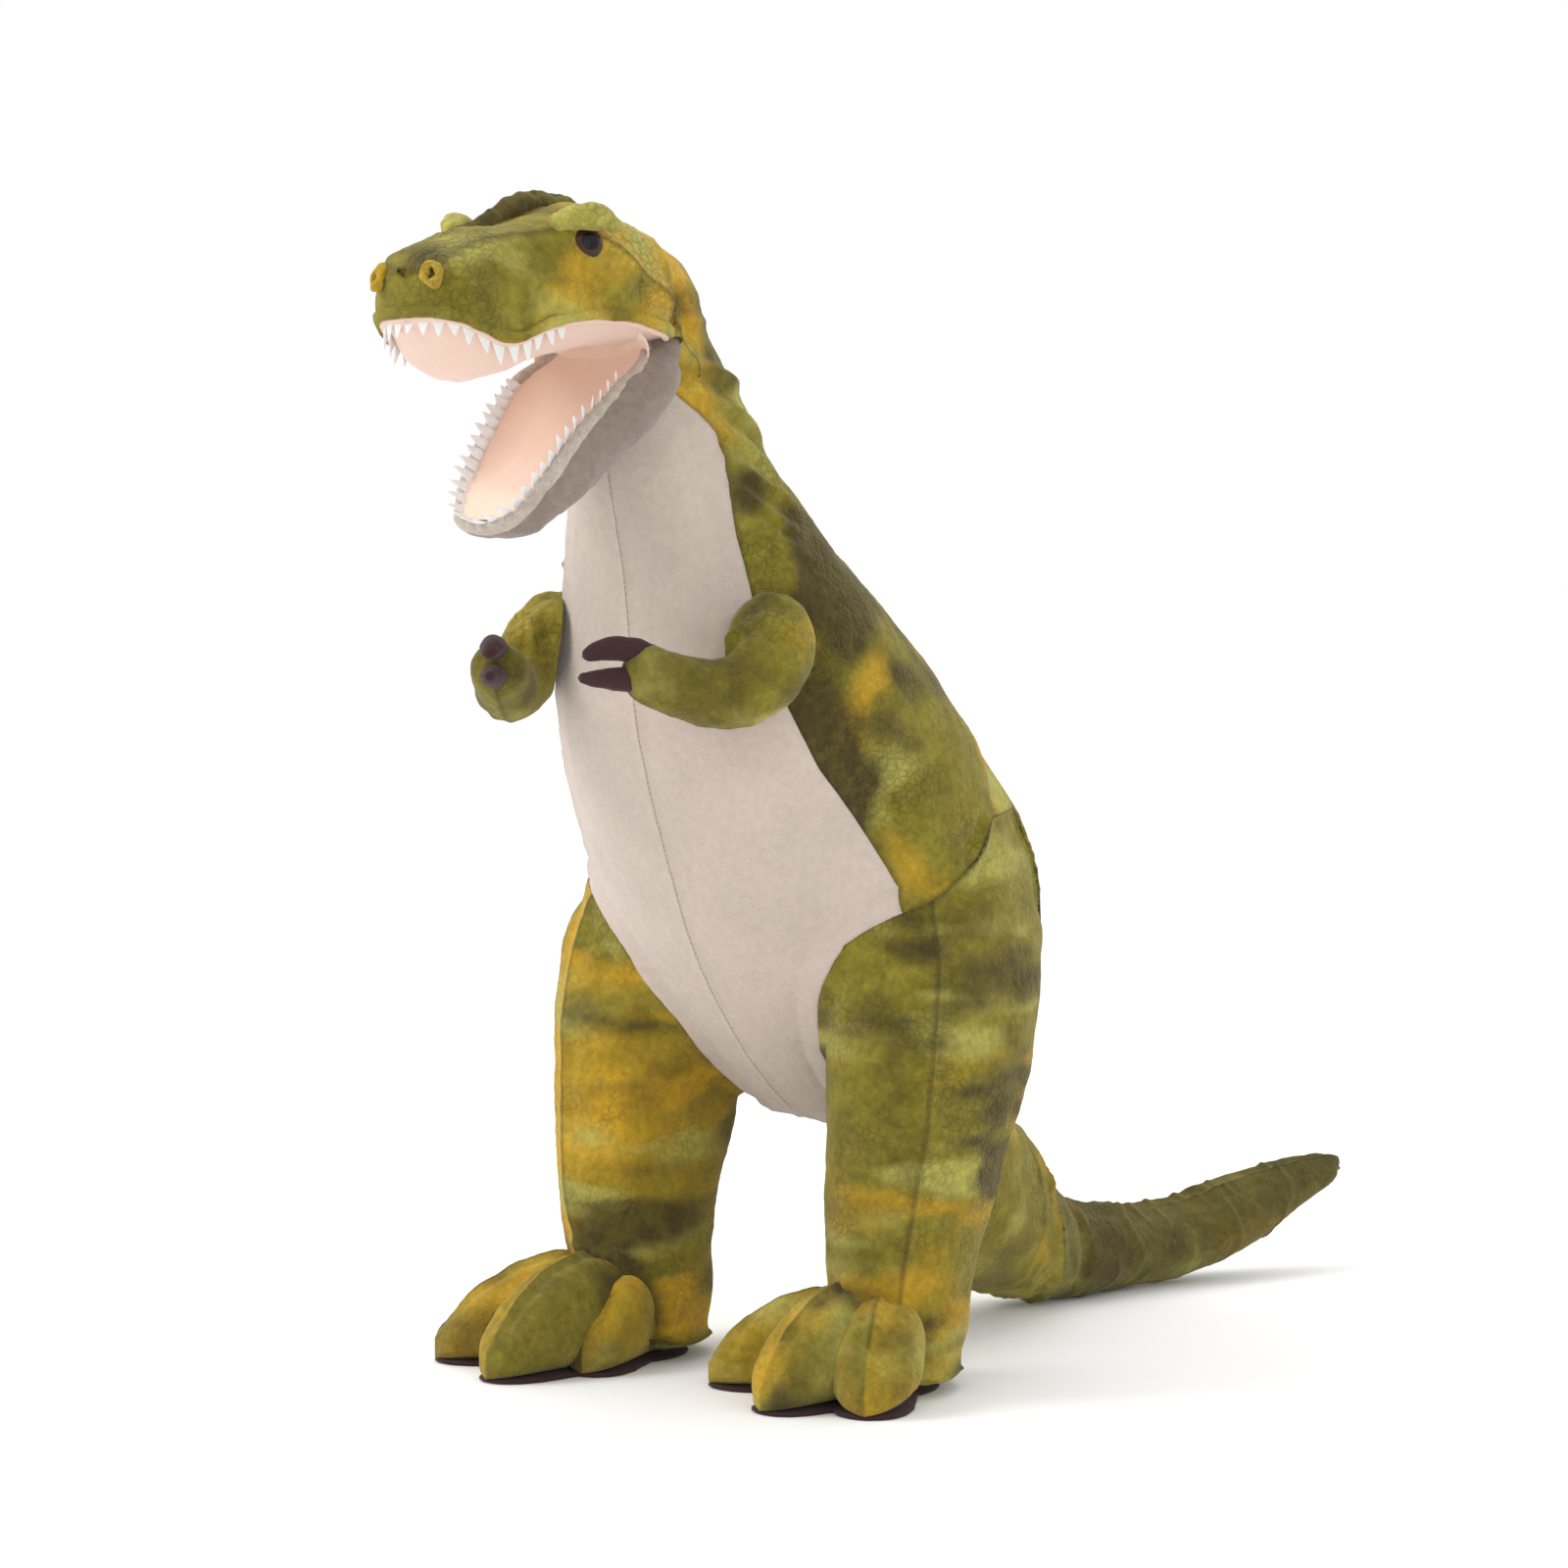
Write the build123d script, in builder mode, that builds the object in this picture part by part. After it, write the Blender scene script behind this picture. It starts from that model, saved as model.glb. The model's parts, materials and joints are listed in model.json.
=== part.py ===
from build123d import *
import os
from math import cos, radians, sin

# Stuffed standing dinosaur: a sewn plush toy with a stuffed body, two thick legs, a curved tail
# that rests on the floor, two small arms and a head with an open mouth.
# Millimetres, +Z up, nose towards -Y, the animal's own left on +X, floor at Z 0.

os.makedirs("parts", exist_ok=True)

# ---------------------------------------------------------------- driving dimensions
X_SHIFT = 8.0           # moves every finished piece so that the bounding box is centred
Y_SHIFT = -112.5        # moves the ankle-centred layout onto the middle of the bounding box
FABRIC = 2.0            # thickness of the plush cloth with its pile
FELT = 1.6              # thickness of the white tooth felt and the brown sole felt
SEAM_GAP = 0.4          # free space between parts that move against each other
NECK_Z = 378.0          # level of the neck seam where the head turns
NECK_Y = -24.0 + Y_SHIFT
JAW_Y, JAW_Z = -56.0 + Y_SHIFT, 407.0   # mouth corner axis
JAW_DROP = 52.0         # how far the lower jaw hangs below level, in degrees
JAW_ROOT_R = 11.0       # rounded root of the jaw, turning about the mouth corner axis
JAW_OPEN_MORE = 3.0     # the jaw can sag this much further, in degrees
SHOULDER = (52.5, -24.5 + Y_SHIFT, 297.5)   # middle of the left shoulder seam
SHOULDER_OUT = (0.68, -0.72, 0.12)      # outward direction of that seam
TAIL_HINGE = (5.0, 236.0 + Y_SHIFT)     # upright axis at the crease of the tail
TAIL_NOSE_R = 18.0      # rounded front of the moving tail, turning about that axis
TAIL_SWING = 15.0       # how far the tail swings to each side, in degrees
LEG_SIDES = {"left": 1, "right": -1}

# Level sections as (centre x, centre y, z, half width, half depth), y counted from the ankles.
TORSO = [
    (0, 122, 88, 24, 38), (0, 112, 104, 39, 54), (0, 102, 122, 51, 66), (0, 92, 143, 68, 75),
    (0, 83, 166, 80, 83), (0, 73, 194, 88, 88), (0, 60, 224, 89, 87), (0, 41, 256, 85, 79),
    (0, 29, 278, 79, 71), (0, 12, 308, 67, 57), (0, -4, 338, 51, 47), (0, -14, 354, 44, 41),
    (0, -24, NECK_Z, 38, 36),
]
LEG = [
    (60, 44, 3, 25, 29), (62, 43, 20, 28, 34), (64, 44, 45, 27, 34), (66, 48, 75, 30, 39),
    (67, 55, 107, 33, 46), (68, 60, 140, 36, 50), (66, 66, 172, 37, 52), (61, 71, 200, 34, 47),
    (54, 77, 224, 25, 37), (48, 83, 240, 14, 22),
]
NAPE = [
    (0, -24, NECK_Z + SEAM_GAP, 38, 36), (0, -33, 392, 37, 33), (0, -42, 408, 36.5, 31),
    (0, -53, 428, 34.5, 28), (0, -60, 443, 29, 24), (0, -66, 453, 17, 15),
]
# Upright skull sections as (y, half width, lip z, top z).
SKULL = [
    (-170.5, 14, 413, 426), (-163, 20, 411, 434), (-150, 26, 404, 440), (-135, 30, 398, 446),
    (-118, 32, 401, 452), (-100, 35, 407, 458), (-80, 38, 410, 458), (-62, 36, 410, 455),
]
# Tail stations as (x, y, z, half width, half height), y counted from the ankles.
TAIL = [
    (0, 140, 84, 44, 40), (0, 176, 58, 36, 36), (1, 206, 36, 27, 30), (5, 236, 23, 21, 22.4),
    (11, 265, 19.8, 19, 19.3), (19, 293, 18.8, 17.5, 17.6), (30, 322, 22.5, 15.5, 17),
    (41, 346, 31, 13, 14.5), (51, 368, 39.5, 10, 11), (58, 385, 45, 7, 8), (61, 394, 48, 4, 5),
]
TAIL_MIDDLE = [(5, 180), (5, 236), (11, 265), (19, 293), (30, 322), (41, 346), (51, 368), (70, 415)]
# Front view of the belly panel's left edge as (x, z), and the side view of its rear limit as (y, z).
BELLY_EDGE = [
    (34, 385), (37.5, 360), (41, 331), (46.5, 308), (57, 266), (64, 241), (72, 218), (77, 190),
    (60, 167), (43, 142), (32, 131), (22, 112), (14, 80),
]
BELLY_BACK = [
    (-200, 400), (-24, 400), (-14, 354), (12, 308), (36, 256), (58, 200), (66, 150), (66, 110),
    (90, 84), (90, 60), (-200, 60),
]
# Side view of the upper lip as (y, z) from the nose back to the corner of the mouth.
LIP = [(-180, 414), (-164, 412), (-154, 404), (-142, 398), (-128, 399), (-112, 404), (-90, 408), (-50, 409)]
LIP_BAND = 6.0          # height of the stitched strip along the upper lip
JAW_BELLY = 12.0        # from the middle of the jaw down to its underside
SNOUT_SEAM_Y = -112.0   # upright face seam in front of the eyes
CROWN_SEAM_Z = 440.0    # level seam between crown and cheeks
EYE = (32.0, -105.0, 441.0)
EYE_OUT = (0.86, -0.42, 0.20)
EYE_R, EYE_STEM_R, EYE_STEM = 5.9, 2.2, 12.0
WASHER_DEPTH, WASHER_R = -7.0, 7.0
# Small rolls as (x, y, z, half width, half height), y counted from the ankles.
CREST = [
    (0, -150, 437, 3.5, 3.5), (0, -143, 442, 6.5, 6.5), (0, -133, 446, 4.5, 4.5), (0, -120, 451, 5, 5),
    (0, -104, 458, 5.5, 5.5), (0, -88, 461, 4.5, 4.5), (0, -74, 459, 3, 3),
]
BROW = [
    (27, -121, 446, 2.5, 2.5), (30, -114, 449, 4.2, 3.8), (32, -104, 451, 4.2, 3.6),
    (32, -96, 451, 2.5, 2.2),
]
NOSTRIL, NOSTRIL_OUT = (13.0, -167.5, 426.5), (0.5, -1.0, 0.3)
NOSTRIL_R, NOSTRIL_ROLL = 3.2, 1.9
UPPER_TOOTH_INSET = 4.0
UPPER_TOOTH, UPPER_TOOTH_PITCH = 8.0, 8.0
FRONT_TOOTH, FRONT_TOOTH_PITCH = 7.0, 5.2
# Jaw sections as (how far along from the hinge, half width, underside, top), the last two
# measured up from the line through the hinge.
JAW = [
    (4, 30, -11, 19), (18, 36, -12, 20), (38, 34.5, -10, 21), (60, 29, -6, 22), (78, 23.5, -1, 21.5),
    (90, 17.5, 2, 20), (98, 9.5, 3, 19),
]
JAW_ROOT_HALF = 30.0
# Side view of the stuffed rim as (how far along, height above the line from the hinge).
JAW_RIM = [(-2, 3), (10, 5), (30, 12), (56, 16), (78, 16.5), (110, 14)]
JAW_RIM_HEIGHT = 5.0
JAW_WALL = 7.0          # stuffed wall between the outside and the mouth
JAW_FLOOR_RISE = 3.0
LOWER_TOOTH_INSET = 4.4
LOWER_TOOTH, LOWER_TOOTH_PITCH = 8.0, 7.5
# Plan view of the jaw edge as (how far along, half width), for the lower teeth.
LOWER_ARC = [(26, 36), (42, 33.8), (60, 29), (76, 24), (88, 18.5), (94, 12.5)]
# Padded roof of the mouth as (x, y, z, half width, half height), y counted from the ankles.
PALATE = [
    (0, -163, 411, 11, 3), (0, -150, 406, 17, 7), (0, -128, 401, 21, 9), (0, -104, 402, 25, 8),
    (0, -78, 408, 25, 3),
]
# Left arm from shoulder to wrist and its claws as (x, y, z, half width, half height).
ARM = [
    (49, -19, 300, 15, 15), (56, -26, 298, 17, 17), (61, -33, 289, 16.5, 16.5),
    (59, -43, 279, 14.5, 14.5), (52, -56, 276, 12.2, 12.4), (43, -69, 280, 10.8, 11),
    (36, -79, 284, 10.2, 10.4), (32, -85, 287, 9, 9.4),
]
CLAWS = {
    "upper": [
        (34, -84, 292, 3.4, 4), (29, -90, 295, 3.8, 4), (23, -96, 295, 3, 3.2), (17, -101, 290, 1.2, 1.2),
    ],
    "lower": [
        (34, -85, 283, 3.6, 4), (29, -91, 283, 3.8, 4), (23, -97, 283, 2.8, 3), (17, -101, 284, 1.2, 1.2),
    ],
}
SHOULDER_CLEAR = 60.0
SHOULDER_GAP = 2.4      # from the shoulder seam out to the arm, which turns over the round chest
LEG_Y = {"left": 0.0, "right": -8.0}    # the right foot stands slightly further forward
LEG_SPLIT_X = 66.0
PELLET_TOP = 34.0       # the pellet bags fill each foot up to this level
FOOT_ROOT = (62.0, 44.0)
# Toe form as (part of the way to the tip, half width, half height), both over the toe's half size.
TOE_SHAPE = [(0.0, 0.8, 1.25), (0.35, 0.95, 1.2), (0.65, 1.0, 0.95), (0.88, 0.78, 0.62), (1.0, 0.3, 0.3)]
# Toe tips as (x, y, how thick at the root), for the inner, middle and outer toe of each foot.
TOES = {
    "left": {"inner": (2, 4, 15), "middle": (50, -24, 17), "outer": (86, -8, 16)},
    "right": {"inner": (-50, -14, 15), "middle": (-72, -46, 17), "outer": (-116, -28, 16)},
}


pieces = {}


def save(solid, name):
    """Writes one finished piece as its own STEP file."""
    placed = solid.moved(Location((X_SHIFT, 0, 0)))
    placed.label = name
    export_step(placed, f"parts/{name}.step")


def shifted(stations):
    """Level sections moved from the ankle-centred layout into the part frame."""
    return [(x, y + Y_SHIFT, z, a, b) for x, y, z, a, b in stations]


def level_loft(stations, inset=0.0):
    """A closed form through level ellipses; inset draws its wall inwards."""
    with BuildPart() as form:
        for index, (x, y, z, a, b) in enumerate(stations):
            lift = inset if index == 0 else -inset if index == len(stations) - 1 else 0
            with BuildSketch(Plane.XY.offset(z + lift)):
                with Locations((x, y)):
                    Ellipse(a - inset, b - inset)
        loft()
    return form.part


def tube_loft(points, inset=0.0):
    """A closed form along a bent line; each point is (x, y, z, half width, half height)."""
    spots = [Vector(*p[:3]) for p in points]
    with BuildPart() as form:
        for index, (x, y, z, a, b) in enumerate(points):
            before = spots[max(index - 1, 0)]
            after = spots[min(index + 1, len(spots) - 1)]
            along = (after - before).normalized()
            across = along.cross(Vector(0, 0, 1)).normalized()
            end = inset if index == 0 else -inset if index == len(points) - 1 else 0
            spot = Plane(origin=Vector(x, y, z) + along * end, x_dir=across, z_dir=along)
            with BuildSketch(spot):
                Ellipse(a - inset, b - inset)
        loft()
    return form.part


def cut(whole, *tools):
    """whole without the tools' material."""
    with BuildPart() as rest:
        add(whole)
        for tool in tools:
            add(tool, mode=Mode.SUBTRACT)
    return rest.part


def common(whole, tool):
    """The material that whole and tool share."""
    with BuildPart() as shared:
        add(whole)
        add(tool, mode=Mode.INTERSECT)
    return shared.part


def largest(shape):
    """The biggest solid of a shape that a cut has left in more than one."""
    with BuildPart() as kept:
        add(shape.solids().sort_by(SortBy.VOLUME)[-1])
    return kept.part


def slab(low, high):
    """A plain box between two corners, used as a cutting tool."""
    size = [h - l for l, h in zip(low, high)]
    with BuildPart() as block:
        with Locations([((low[0] + high[0]) / 2, (low[1] + high[1]) / 2, (low[2] + high[2]) / 2)]):
            Box(*size)
    return block.part


def side_box(side, reach=600):
    """Half of space on the animal's left (side 1) or right (side -1)."""
    low, high = (0, -reach, -reach), (reach, reach, reach)
    if side < 0:
        low, high = (-reach, -reach, -reach), (0, reach, reach)
    return slab(low, high)


# ---------------------------------------------------------------- torso
torso_form = level_loft(shifted(TORSO))
torso_core = level_loft(shifted(TORSO), FABRIC)
torso_wall = cut(torso_form, torso_core)

with BuildPart() as belly_zone:
    with BuildSketch(Plane.XZ):
        with BuildLine():
            Polyline(BELLY_EDGE + [(-x, z) for x, z in reversed(BELLY_EDGE)], close=True)
        make_face()
    extrude(amount=300, both=True)
    with BuildSketch(Plane.YZ):
        with BuildLine():
            Polyline([(y + Y_SHIFT, z) for y, z in BELLY_BACK], close=True)
        make_face()
    extrude(amount=300, both=True, mode=Mode.INTERSECT)

belly_wall = common(torso_wall, belly_zone.part)
flank_wall = cut(torso_wall, belly_zone.part)
pieces["torso_filling"] = torso_core
for side_name, side in LEG_SIDES.items():
    pieces[f"belly_panel_{side_name}"] = common(belly_wall, side_box(side))
    pieces[f"flank_panel_{side_name}"] = common(flank_wall, side_box(side))

# ---------------------------------------------------------------- tail
tail_form = tube_loft(shifted(TAIL))
tail_core = tube_loft(shifted(TAIL), FABRIC)


def tail_zone(moving):
    """Where the moving tail is (True), or where the fixed tail base is (False)."""
    hinge = Plane(origin=(*TAIL_HINGE, 0))
    slope = sin(radians(TAIL_SWING + 1)) / cos(radians(TAIL_SWING + 1))
    with BuildPart() as zone:
        with BuildSketch(hinge.offset(-100)):
            with BuildLine():
                if moving:
                    Polyline((-200, 0), (200, 0), (200, 400), (-200, 400), close=True)
                else:
                    Polyline((0, 0), (-200, -200 * slope), (-200, -400), (200, -400),
                             (200, -200 * slope), close=True)
            make_face()
            if moving:
                Circle(TAIL_NOSE_R)
            else:
                Circle(TAIL_NOSE_R + SEAM_GAP, mode=Mode.SUBTRACT)
        extrude(amount=400)
    return zone.part


tail_base_form = cut(common(tail_form, tail_zone(False)), torso_form)
tail_base_core = common(tail_base_form, tail_core)
pieces["tail_base_cover"] = cut(tail_base_form, tail_core)
pieces["tail_base_filling"] = tail_base_core
tail_end_form = common(tail_form, tail_zone(True))
tail_end_wall = cut(tail_end_form, tail_core)
pieces["tail_filling"] = common(tail_end_form, tail_core)
with BuildPart() as tail_split:
    with BuildSketch(Plane.XY.offset(-100)):
        with BuildLine():
            Polyline([(x, y + Y_SHIFT) for x, y in TAIL_MIDDLE] + [(400, 300), (400, -100)],
                     close=True)
        make_face()
    extrude(amount=400)
pieces["tail_side_left"] = common(tail_end_wall, tail_split.part)
pieces["tail_side_right"] = cut(tail_end_wall, tail_split.part)

# ---------------------------------------------------------------- legs and feet
for side_name, side in LEG_SIDES.items():
    stations = [(x * side, y + LEG_Y[side_name] + Y_SHIFT, z, a, b) for x, y, z, a, b in LEG]
    leg_form = cut(level_loft(stations), torso_form, pieces["tail_base_cover"])
    leg_core = common(level_loft(stations, FABRIC), leg_form)
    leg_wall = cut(leg_form, leg_core)
    outer_low = (LEG_SPLIT_X, -600, -10) if side > 0 else (-600, -600, -10)
    outer_high = (600, 600, 600) if side > 0 else (-LEG_SPLIT_X, 600, 600)
    outer_zone = slab(outer_low, outer_high)
    pieces[f"leg_outer_panel_{side_name}"] = common(leg_wall, outer_zone)
    pieces[f"leg_inner_panel_{side_name}"] = cut(leg_wall, outer_zone)
    pellet_zone = slab((-300, -600, -10), (300, 600, PELLET_TOP))
    pieces[f"foot_pellets_{side_name}"] = common(leg_core, pellet_zone)
    pieces[f"leg_filling_{side_name}"] = cut(leg_core, pellet_zone)
    earlier = [level_loft(stations)]
    root = Vector(FOOT_ROOT[0] * side, FOOT_ROOT[1] + LEG_Y[side_name] + Y_SHIFT, 0)
    sole_spans = []
    for toe, (tip_x, tip_y, half) in TOES[side_name].items():
        tip = Vector(tip_x, tip_y + Y_SHIFT, 0)
        span = tip - root
        toe_points = []
        for reach, wide, high in TOE_SHAPE:
            spot = root + span * reach
            rise = half * high
            toe_points.append((spot.X, spot.Y, FELT + rise, half * wide, rise))
        toe_form = tube_loft(toe_points)
        pieces[f"toe_{toe}_{side_name}"] = largest(cut(toe_form, *earlier))
        earlier.append(toe_form)
        sole_spans.append((span, half))
    with BuildPart() as sole:
        with BuildSketch():
            with Locations((stations[0][0], stations[0][1])):
                Ellipse(stations[0][3], stations[0][4])
            for span, half in sole_spans:
                heading = Vector(1, 0, 0).get_signed_angle(span, Vector(0, 0, 1))
                with Locations(Location((root.X, root.Y, 0), (0, 0, 1), heading)):
                    with Locations((span.length * 0.5 - half * 0.3, 0)):
                        SlotOverall(span.length + half * 0.6 - 4, half * 1.5)
        extrude(amount=FELT)
    pieces[f"foot_sole_{side_name}"] = sole.part

# ---------------------------------------------------------------- head
LIP_DEPTH = 26.0        # how far the skull form runs on below the lip before the mouth is cut


def skull_loft(inset=0.0):
    """The skull with upright sides that run on down past the lip."""
    with BuildPart() as form:
        for index, (y, half, lip, top) in enumerate(SKULL):
            end = inset if index == 0 else -inset if index == len(SKULL) - 1 else 0
            height = top - lip + LIP_DEPTH - 2 * inset
            with BuildSketch(Plane(origin=(0, y + Y_SHIFT + end, (top + lip - LIP_DEPTH) / 2),
                                   x_dir=(1, 0, 0), z_dir=(0, 1, 0))):
                RectangleRounded(2 * (half - inset), height, (half - inset) * 0.8)
        loft()
    return form.part


def side_prism(points, reach=300.0):
    """A side-view outline of (y, z) points carried right through from side to side."""
    with BuildPart() as prism:
        with BuildSketch(Plane.YZ):
            with BuildLine():
                Polyline(points, close=True)
            make_face()
        extrude(amount=reach, both=True)
    return prism.part


def jaw_point(along, up, drop=JAW_DROP):
    """Side-view (y, z) of a spot measured along the jaw from its hinge and up from its middle."""
    turn = radians(drop)
    return (JAW_Y - along * cos(turn) - up * sin(turn), JAW_Z - along * sin(turn) + up * cos(turn))


lip_line = [(y + Y_SHIFT, z) for y, z in LIP]
lowest = JAW_DROP + JAW_OPEN_MORE
mouth_outline = lip_line + [
    (JAW_Y, JAW_Z), jaw_point(0, -JAW_BELLY - SEAM_GAP, lowest),
    jaw_point(150, -JAW_BELLY - SEAM_GAP, lowest), (-400, 250), (-400, lip_line[0][1]),
]
with BuildPart() as mouth_zone:
    add(side_prism(mouth_outline))
    with BuildSketch(Plane.YZ):
        with Locations((JAW_Y, JAW_Z)):
            Circle(JAW_ROOT_R + SEAM_GAP)
    extrude(amount=300, both=True)

nape_form = level_loft(shifted(NAPE))
nape_core = level_loft(shifted(NAPE), FABRIC)
skull_form = skull_loft()
with BuildPart() as head_build:
    add(skull_form)
    add(nape_form)
    add(mouth_zone.part, mode=Mode.SUBTRACT)
head_form = head_build.part
with BuildPart() as head_core_build:
    add(skull_loft(FABRIC))
    add(nape_core)
    add(mouth_zone.part, mode=Mode.SUBTRACT)
head_core = head_core_build.part


def lip_band(depth):
    """The side-view strip that lies within this depth above the mouth opening."""
    upper = [(y, z + depth) for y, z in reversed(lip_line)]
    return side_prism(lip_line + upper)


eyes = {}
for side_name, side in LEG_SIDES.items():
    out = Vector(EYE_OUT[0] * side, EYE_OUT[1], EYE_OUT[2]).normalized()
    seat = Plane(origin=(EYE[0] * side, EYE[1] + Y_SHIFT, EYE[2]), z_dir=out)
    with BuildPart(seat) as eye:
        Cylinder(EYE_R, 2.4, align=(Align.CENTER, Align.CENTER, Align.MIN))
        fillet(eye.edges().group_by(SortBy.LENGTH)[-1].sort_by(Axis(seat.origin, out))[-1], 2.2)
        Cylinder(EYE_STEM_R, EYE_STEM, align=(Align.CENTER, Align.CENTER, Align.MAX))
    eyes[f"eye_{side_name}"] = eye.part
    with BuildPart(seat.offset(WASHER_DEPTH)) as washer:
        Cylinder(WASHER_R, 1.6)
        Cylinder(EYE_STEM_R, 3, mode=Mode.SUBTRACT)
    eyes[f"eye_washer_{side_name}"] = washer.part

head_wall = cut(head_form, head_core, *eyes.values())
band_zone = lip_band(LIP_BAND)
pieces["upper_lip_band"] = common(head_wall, band_zone)
upper_wall = cut(head_wall, band_zone)
snout_zone = slab((-300, -600, 300), (300, SNOUT_SEAM_Y + Y_SHIFT, 600))
pieces["snout_panel"] = common(upper_wall, snout_zone)
rear_wall = cut(upper_wall, snout_zone)
crown_zone = slab((-300, -600, CROWN_SEAM_Z), (300, 600, 600))
for side_name, side in LEG_SIDES.items():
    side_wall = common(rear_wall, side_box(side))
    pieces[f"crown_panel_{side_name}"] = common(side_wall, crown_zone)
    pieces[f"cheek_panel_{side_name}"] = cut(side_wall, crown_zone)
palate_zone = lip_band(FABRIC)
with BuildPart() as palate:
    add(tube_loft(shifted(PALATE)))
    add(side_prism(lip_line + [(lip_line[-1][0], 600), (lip_line[0][0], 600)]), mode=Mode.SUBTRACT)
    add(common(head_core, palate_zone))
pieces["palate_panel"] = palate.part
pieces["head_filling"] = cut(head_core, palate_zone, *eyes.values())
pieces.update(eyes)

# ---------------------------------------------------------------- crest, brows and nostrils
def laid_on(points, *below):
    """A small stuffed roll that lies on the parts below it."""
    return cut(tube_loft(shifted(points)), *below)


pieces["crest_ridge"] = laid_on(CREST, skull_form, nape_form)
for side_name, side in LEG_SIDES.items():
    brow_line = [(x * side, y, z, a, b) for x, y, z, a, b in BROW]
    pieces[f"brow_{side_name}"] = laid_on(brow_line, skull_form, nape_form,
                                          eyes[f"eye_{side_name}"])
    out = Vector(NOSTRIL_OUT[0] * side, NOSTRIL_OUT[1], NOSTRIL_OUT[2])
    with BuildPart(Plane(origin=(NOSTRIL[0] * side, NOSTRIL[1] + Y_SHIFT, NOSTRIL[2]),
                         z_dir=out)) as ring:
        Torus(NOSTRIL_R, NOSTRIL_ROLL)
    pieces[f"nostril_{side_name}"] = cut(ring.part, skull_form)


# ---------------------------------------------------------------- teeth
def tooth_prism(plane, line, pitch, length, reach):
    """A saw-tooth outline hanging from a (u, v) line, carried through by reach both ways."""
    edge = []
    for (u0, v0), (u1, v1) in zip(line, line[1:]):
        run = Vector(u1 - u0, v1 - v0)
        count = max(1, round(run.length / pitch))
        for step in range(count):
            u, v = u0 + run.X * step / count, v0 + run.Y * step / count
            edge.append((u, v))
            edge.append((u + run.X / count / 2, v + run.Y / count / 2 - length))
    edge.append(line[-1])
    rise = 3.0 if length > 0 else -3.0
    top = [(u, v + rise) for u, v in reversed(line)]
    with BuildPart() as prism:
        with BuildSketch(plane):
            with BuildLine():
                Polyline(edge + top, close=True)
            make_face()
        extrude(amount=reach, both=True)
    return prism.part


tooth_shell = cut(skull_loft(UPPER_TOOTH_INSET), skull_loft(UPPER_TOOTH_INSET + FELT))
side_lip = [(y, z) for y, z in lip_line if -162 + Y_SHIFT < y < -80 + Y_SHIFT]
side_lip.insert(0, (-162 + Y_SHIFT, 410.5))
side_lip.append((-80 + Y_SHIFT, 408.2))
side_teeth = tooth_prism(Plane.YZ, side_lip, UPPER_TOOTH_PITCH, UPPER_TOOTH, 100)
front_zone = slab((-100, -200 + Y_SHIFT, 300), (100, -160 + Y_SHIFT, 600))
front_lip = [(-13, 411), (13, 411)]
front_teeth = tooth_prism(Plane.XZ, front_lip, FRONT_TOOTH_PITCH, FRONT_TOOTH, 600)
with BuildPart() as upper_teeth:
    add(common(common(tooth_shell, front_teeth), front_zone))
    add(cut(common(tooth_shell, side_teeth), front_zone))
pieces["upper_teeth_strip"] = upper_teeth.part
for name in ("palate_panel", "head_filling"):
    pieces[name] = cut(pieces[name], upper_teeth.part)

# ---------------------------------------------------------------- lower jaw
jaw_turn = radians(JAW_DROP)
jaw_along = Vector(0, -cos(jaw_turn), -sin(jaw_turn))
jaw_up = Vector(0, -sin(jaw_turn), cos(jaw_turn))
jaw_origin = Vector(0, JAW_Y, JAW_Z)
# Sketch X runs across the jaw, sketch Y runs along it from the hinge, and its normal points up.
jaw_plane = Plane(origin=jaw_origin, x_dir=(-1, 0, 0), z_dir=jaw_up)


def jaw_loft(inset=0.0, shift=0.0):
    """The scoop of the jaw as one closed form through sections across it."""
    with BuildPart() as form:
        for index, (along, half, low, high) in enumerate(JAW):
            end = inset if index == 0 else -inset if index == len(JAW) - 1 else 0
            middle = jaw_origin + jaw_along * (along + end) + jaw_up * ((low + high) / 2 + shift)
            with BuildSketch(Plane(origin=middle, x_dir=(1, 0, 0), z_dir=jaw_along)):
                Ellipse(half - inset, (high - low) / 2 - inset)
        loft()
    return form.part


def rim_zone(drop, rise=60.0):
    """Everything that lies higher than the rim line lowered by drop, up to rise above it."""
    low = [jaw_point(along, up - drop) for along, up in JAW_RIM]
    high = [jaw_point(along, up + rise) for along, up in reversed(JAW_RIM)]
    return side_prism(low + high)


with BuildPart() as root_roll:
    with BuildSketch(Plane.YZ):
        with Locations((JAW_Y, JAW_Z)):
            Circle(JAW_ROOT_R)
    extrude(amount=JAW_ROOT_HALF, both=True)
with BuildPart() as jaw_solid:
    add(jaw_loft())
    add(rim_zone(0), mode=Mode.SUBTRACT)
    add(root_roll.part)
jaw_hollow = jaw_loft(JAW_WALL, JAW_FLOOR_RISE)
jaw_hollow_outer = jaw_loft(JAW_WALL - FABRIC, JAW_FLOOR_RISE)
jaw_form = cut(jaw_solid.part, cut(jaw_hollow, root_roll.part))
lining = cut(common(jaw_form, jaw_hollow_outer), root_roll.part)
rest = cut(jaw_form, lining)
pieces["jaw_lining"] = lining
pieces["jaw_rim"] = cut(common(rest, rim_zone(JAW_RIM_HEIGHT)), root_roll.part)
rest = cut(rest, pieces["jaw_rim"])
with BuildPart() as jaw_core:
    add(jaw_loft(FABRIC))
    with BuildSketch(Plane.YZ):
        with Locations((JAW_Y, JAW_Z)):
            Circle(JAW_ROOT_R - FABRIC)
    extrude(amount=JAW_ROOT_HALF - FABRIC, both=True)
pieces["jaw_filling"] = common(rest, jaw_core.part)
pieces["jaw_cover"] = cut(rest, jaw_core.part)

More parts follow.
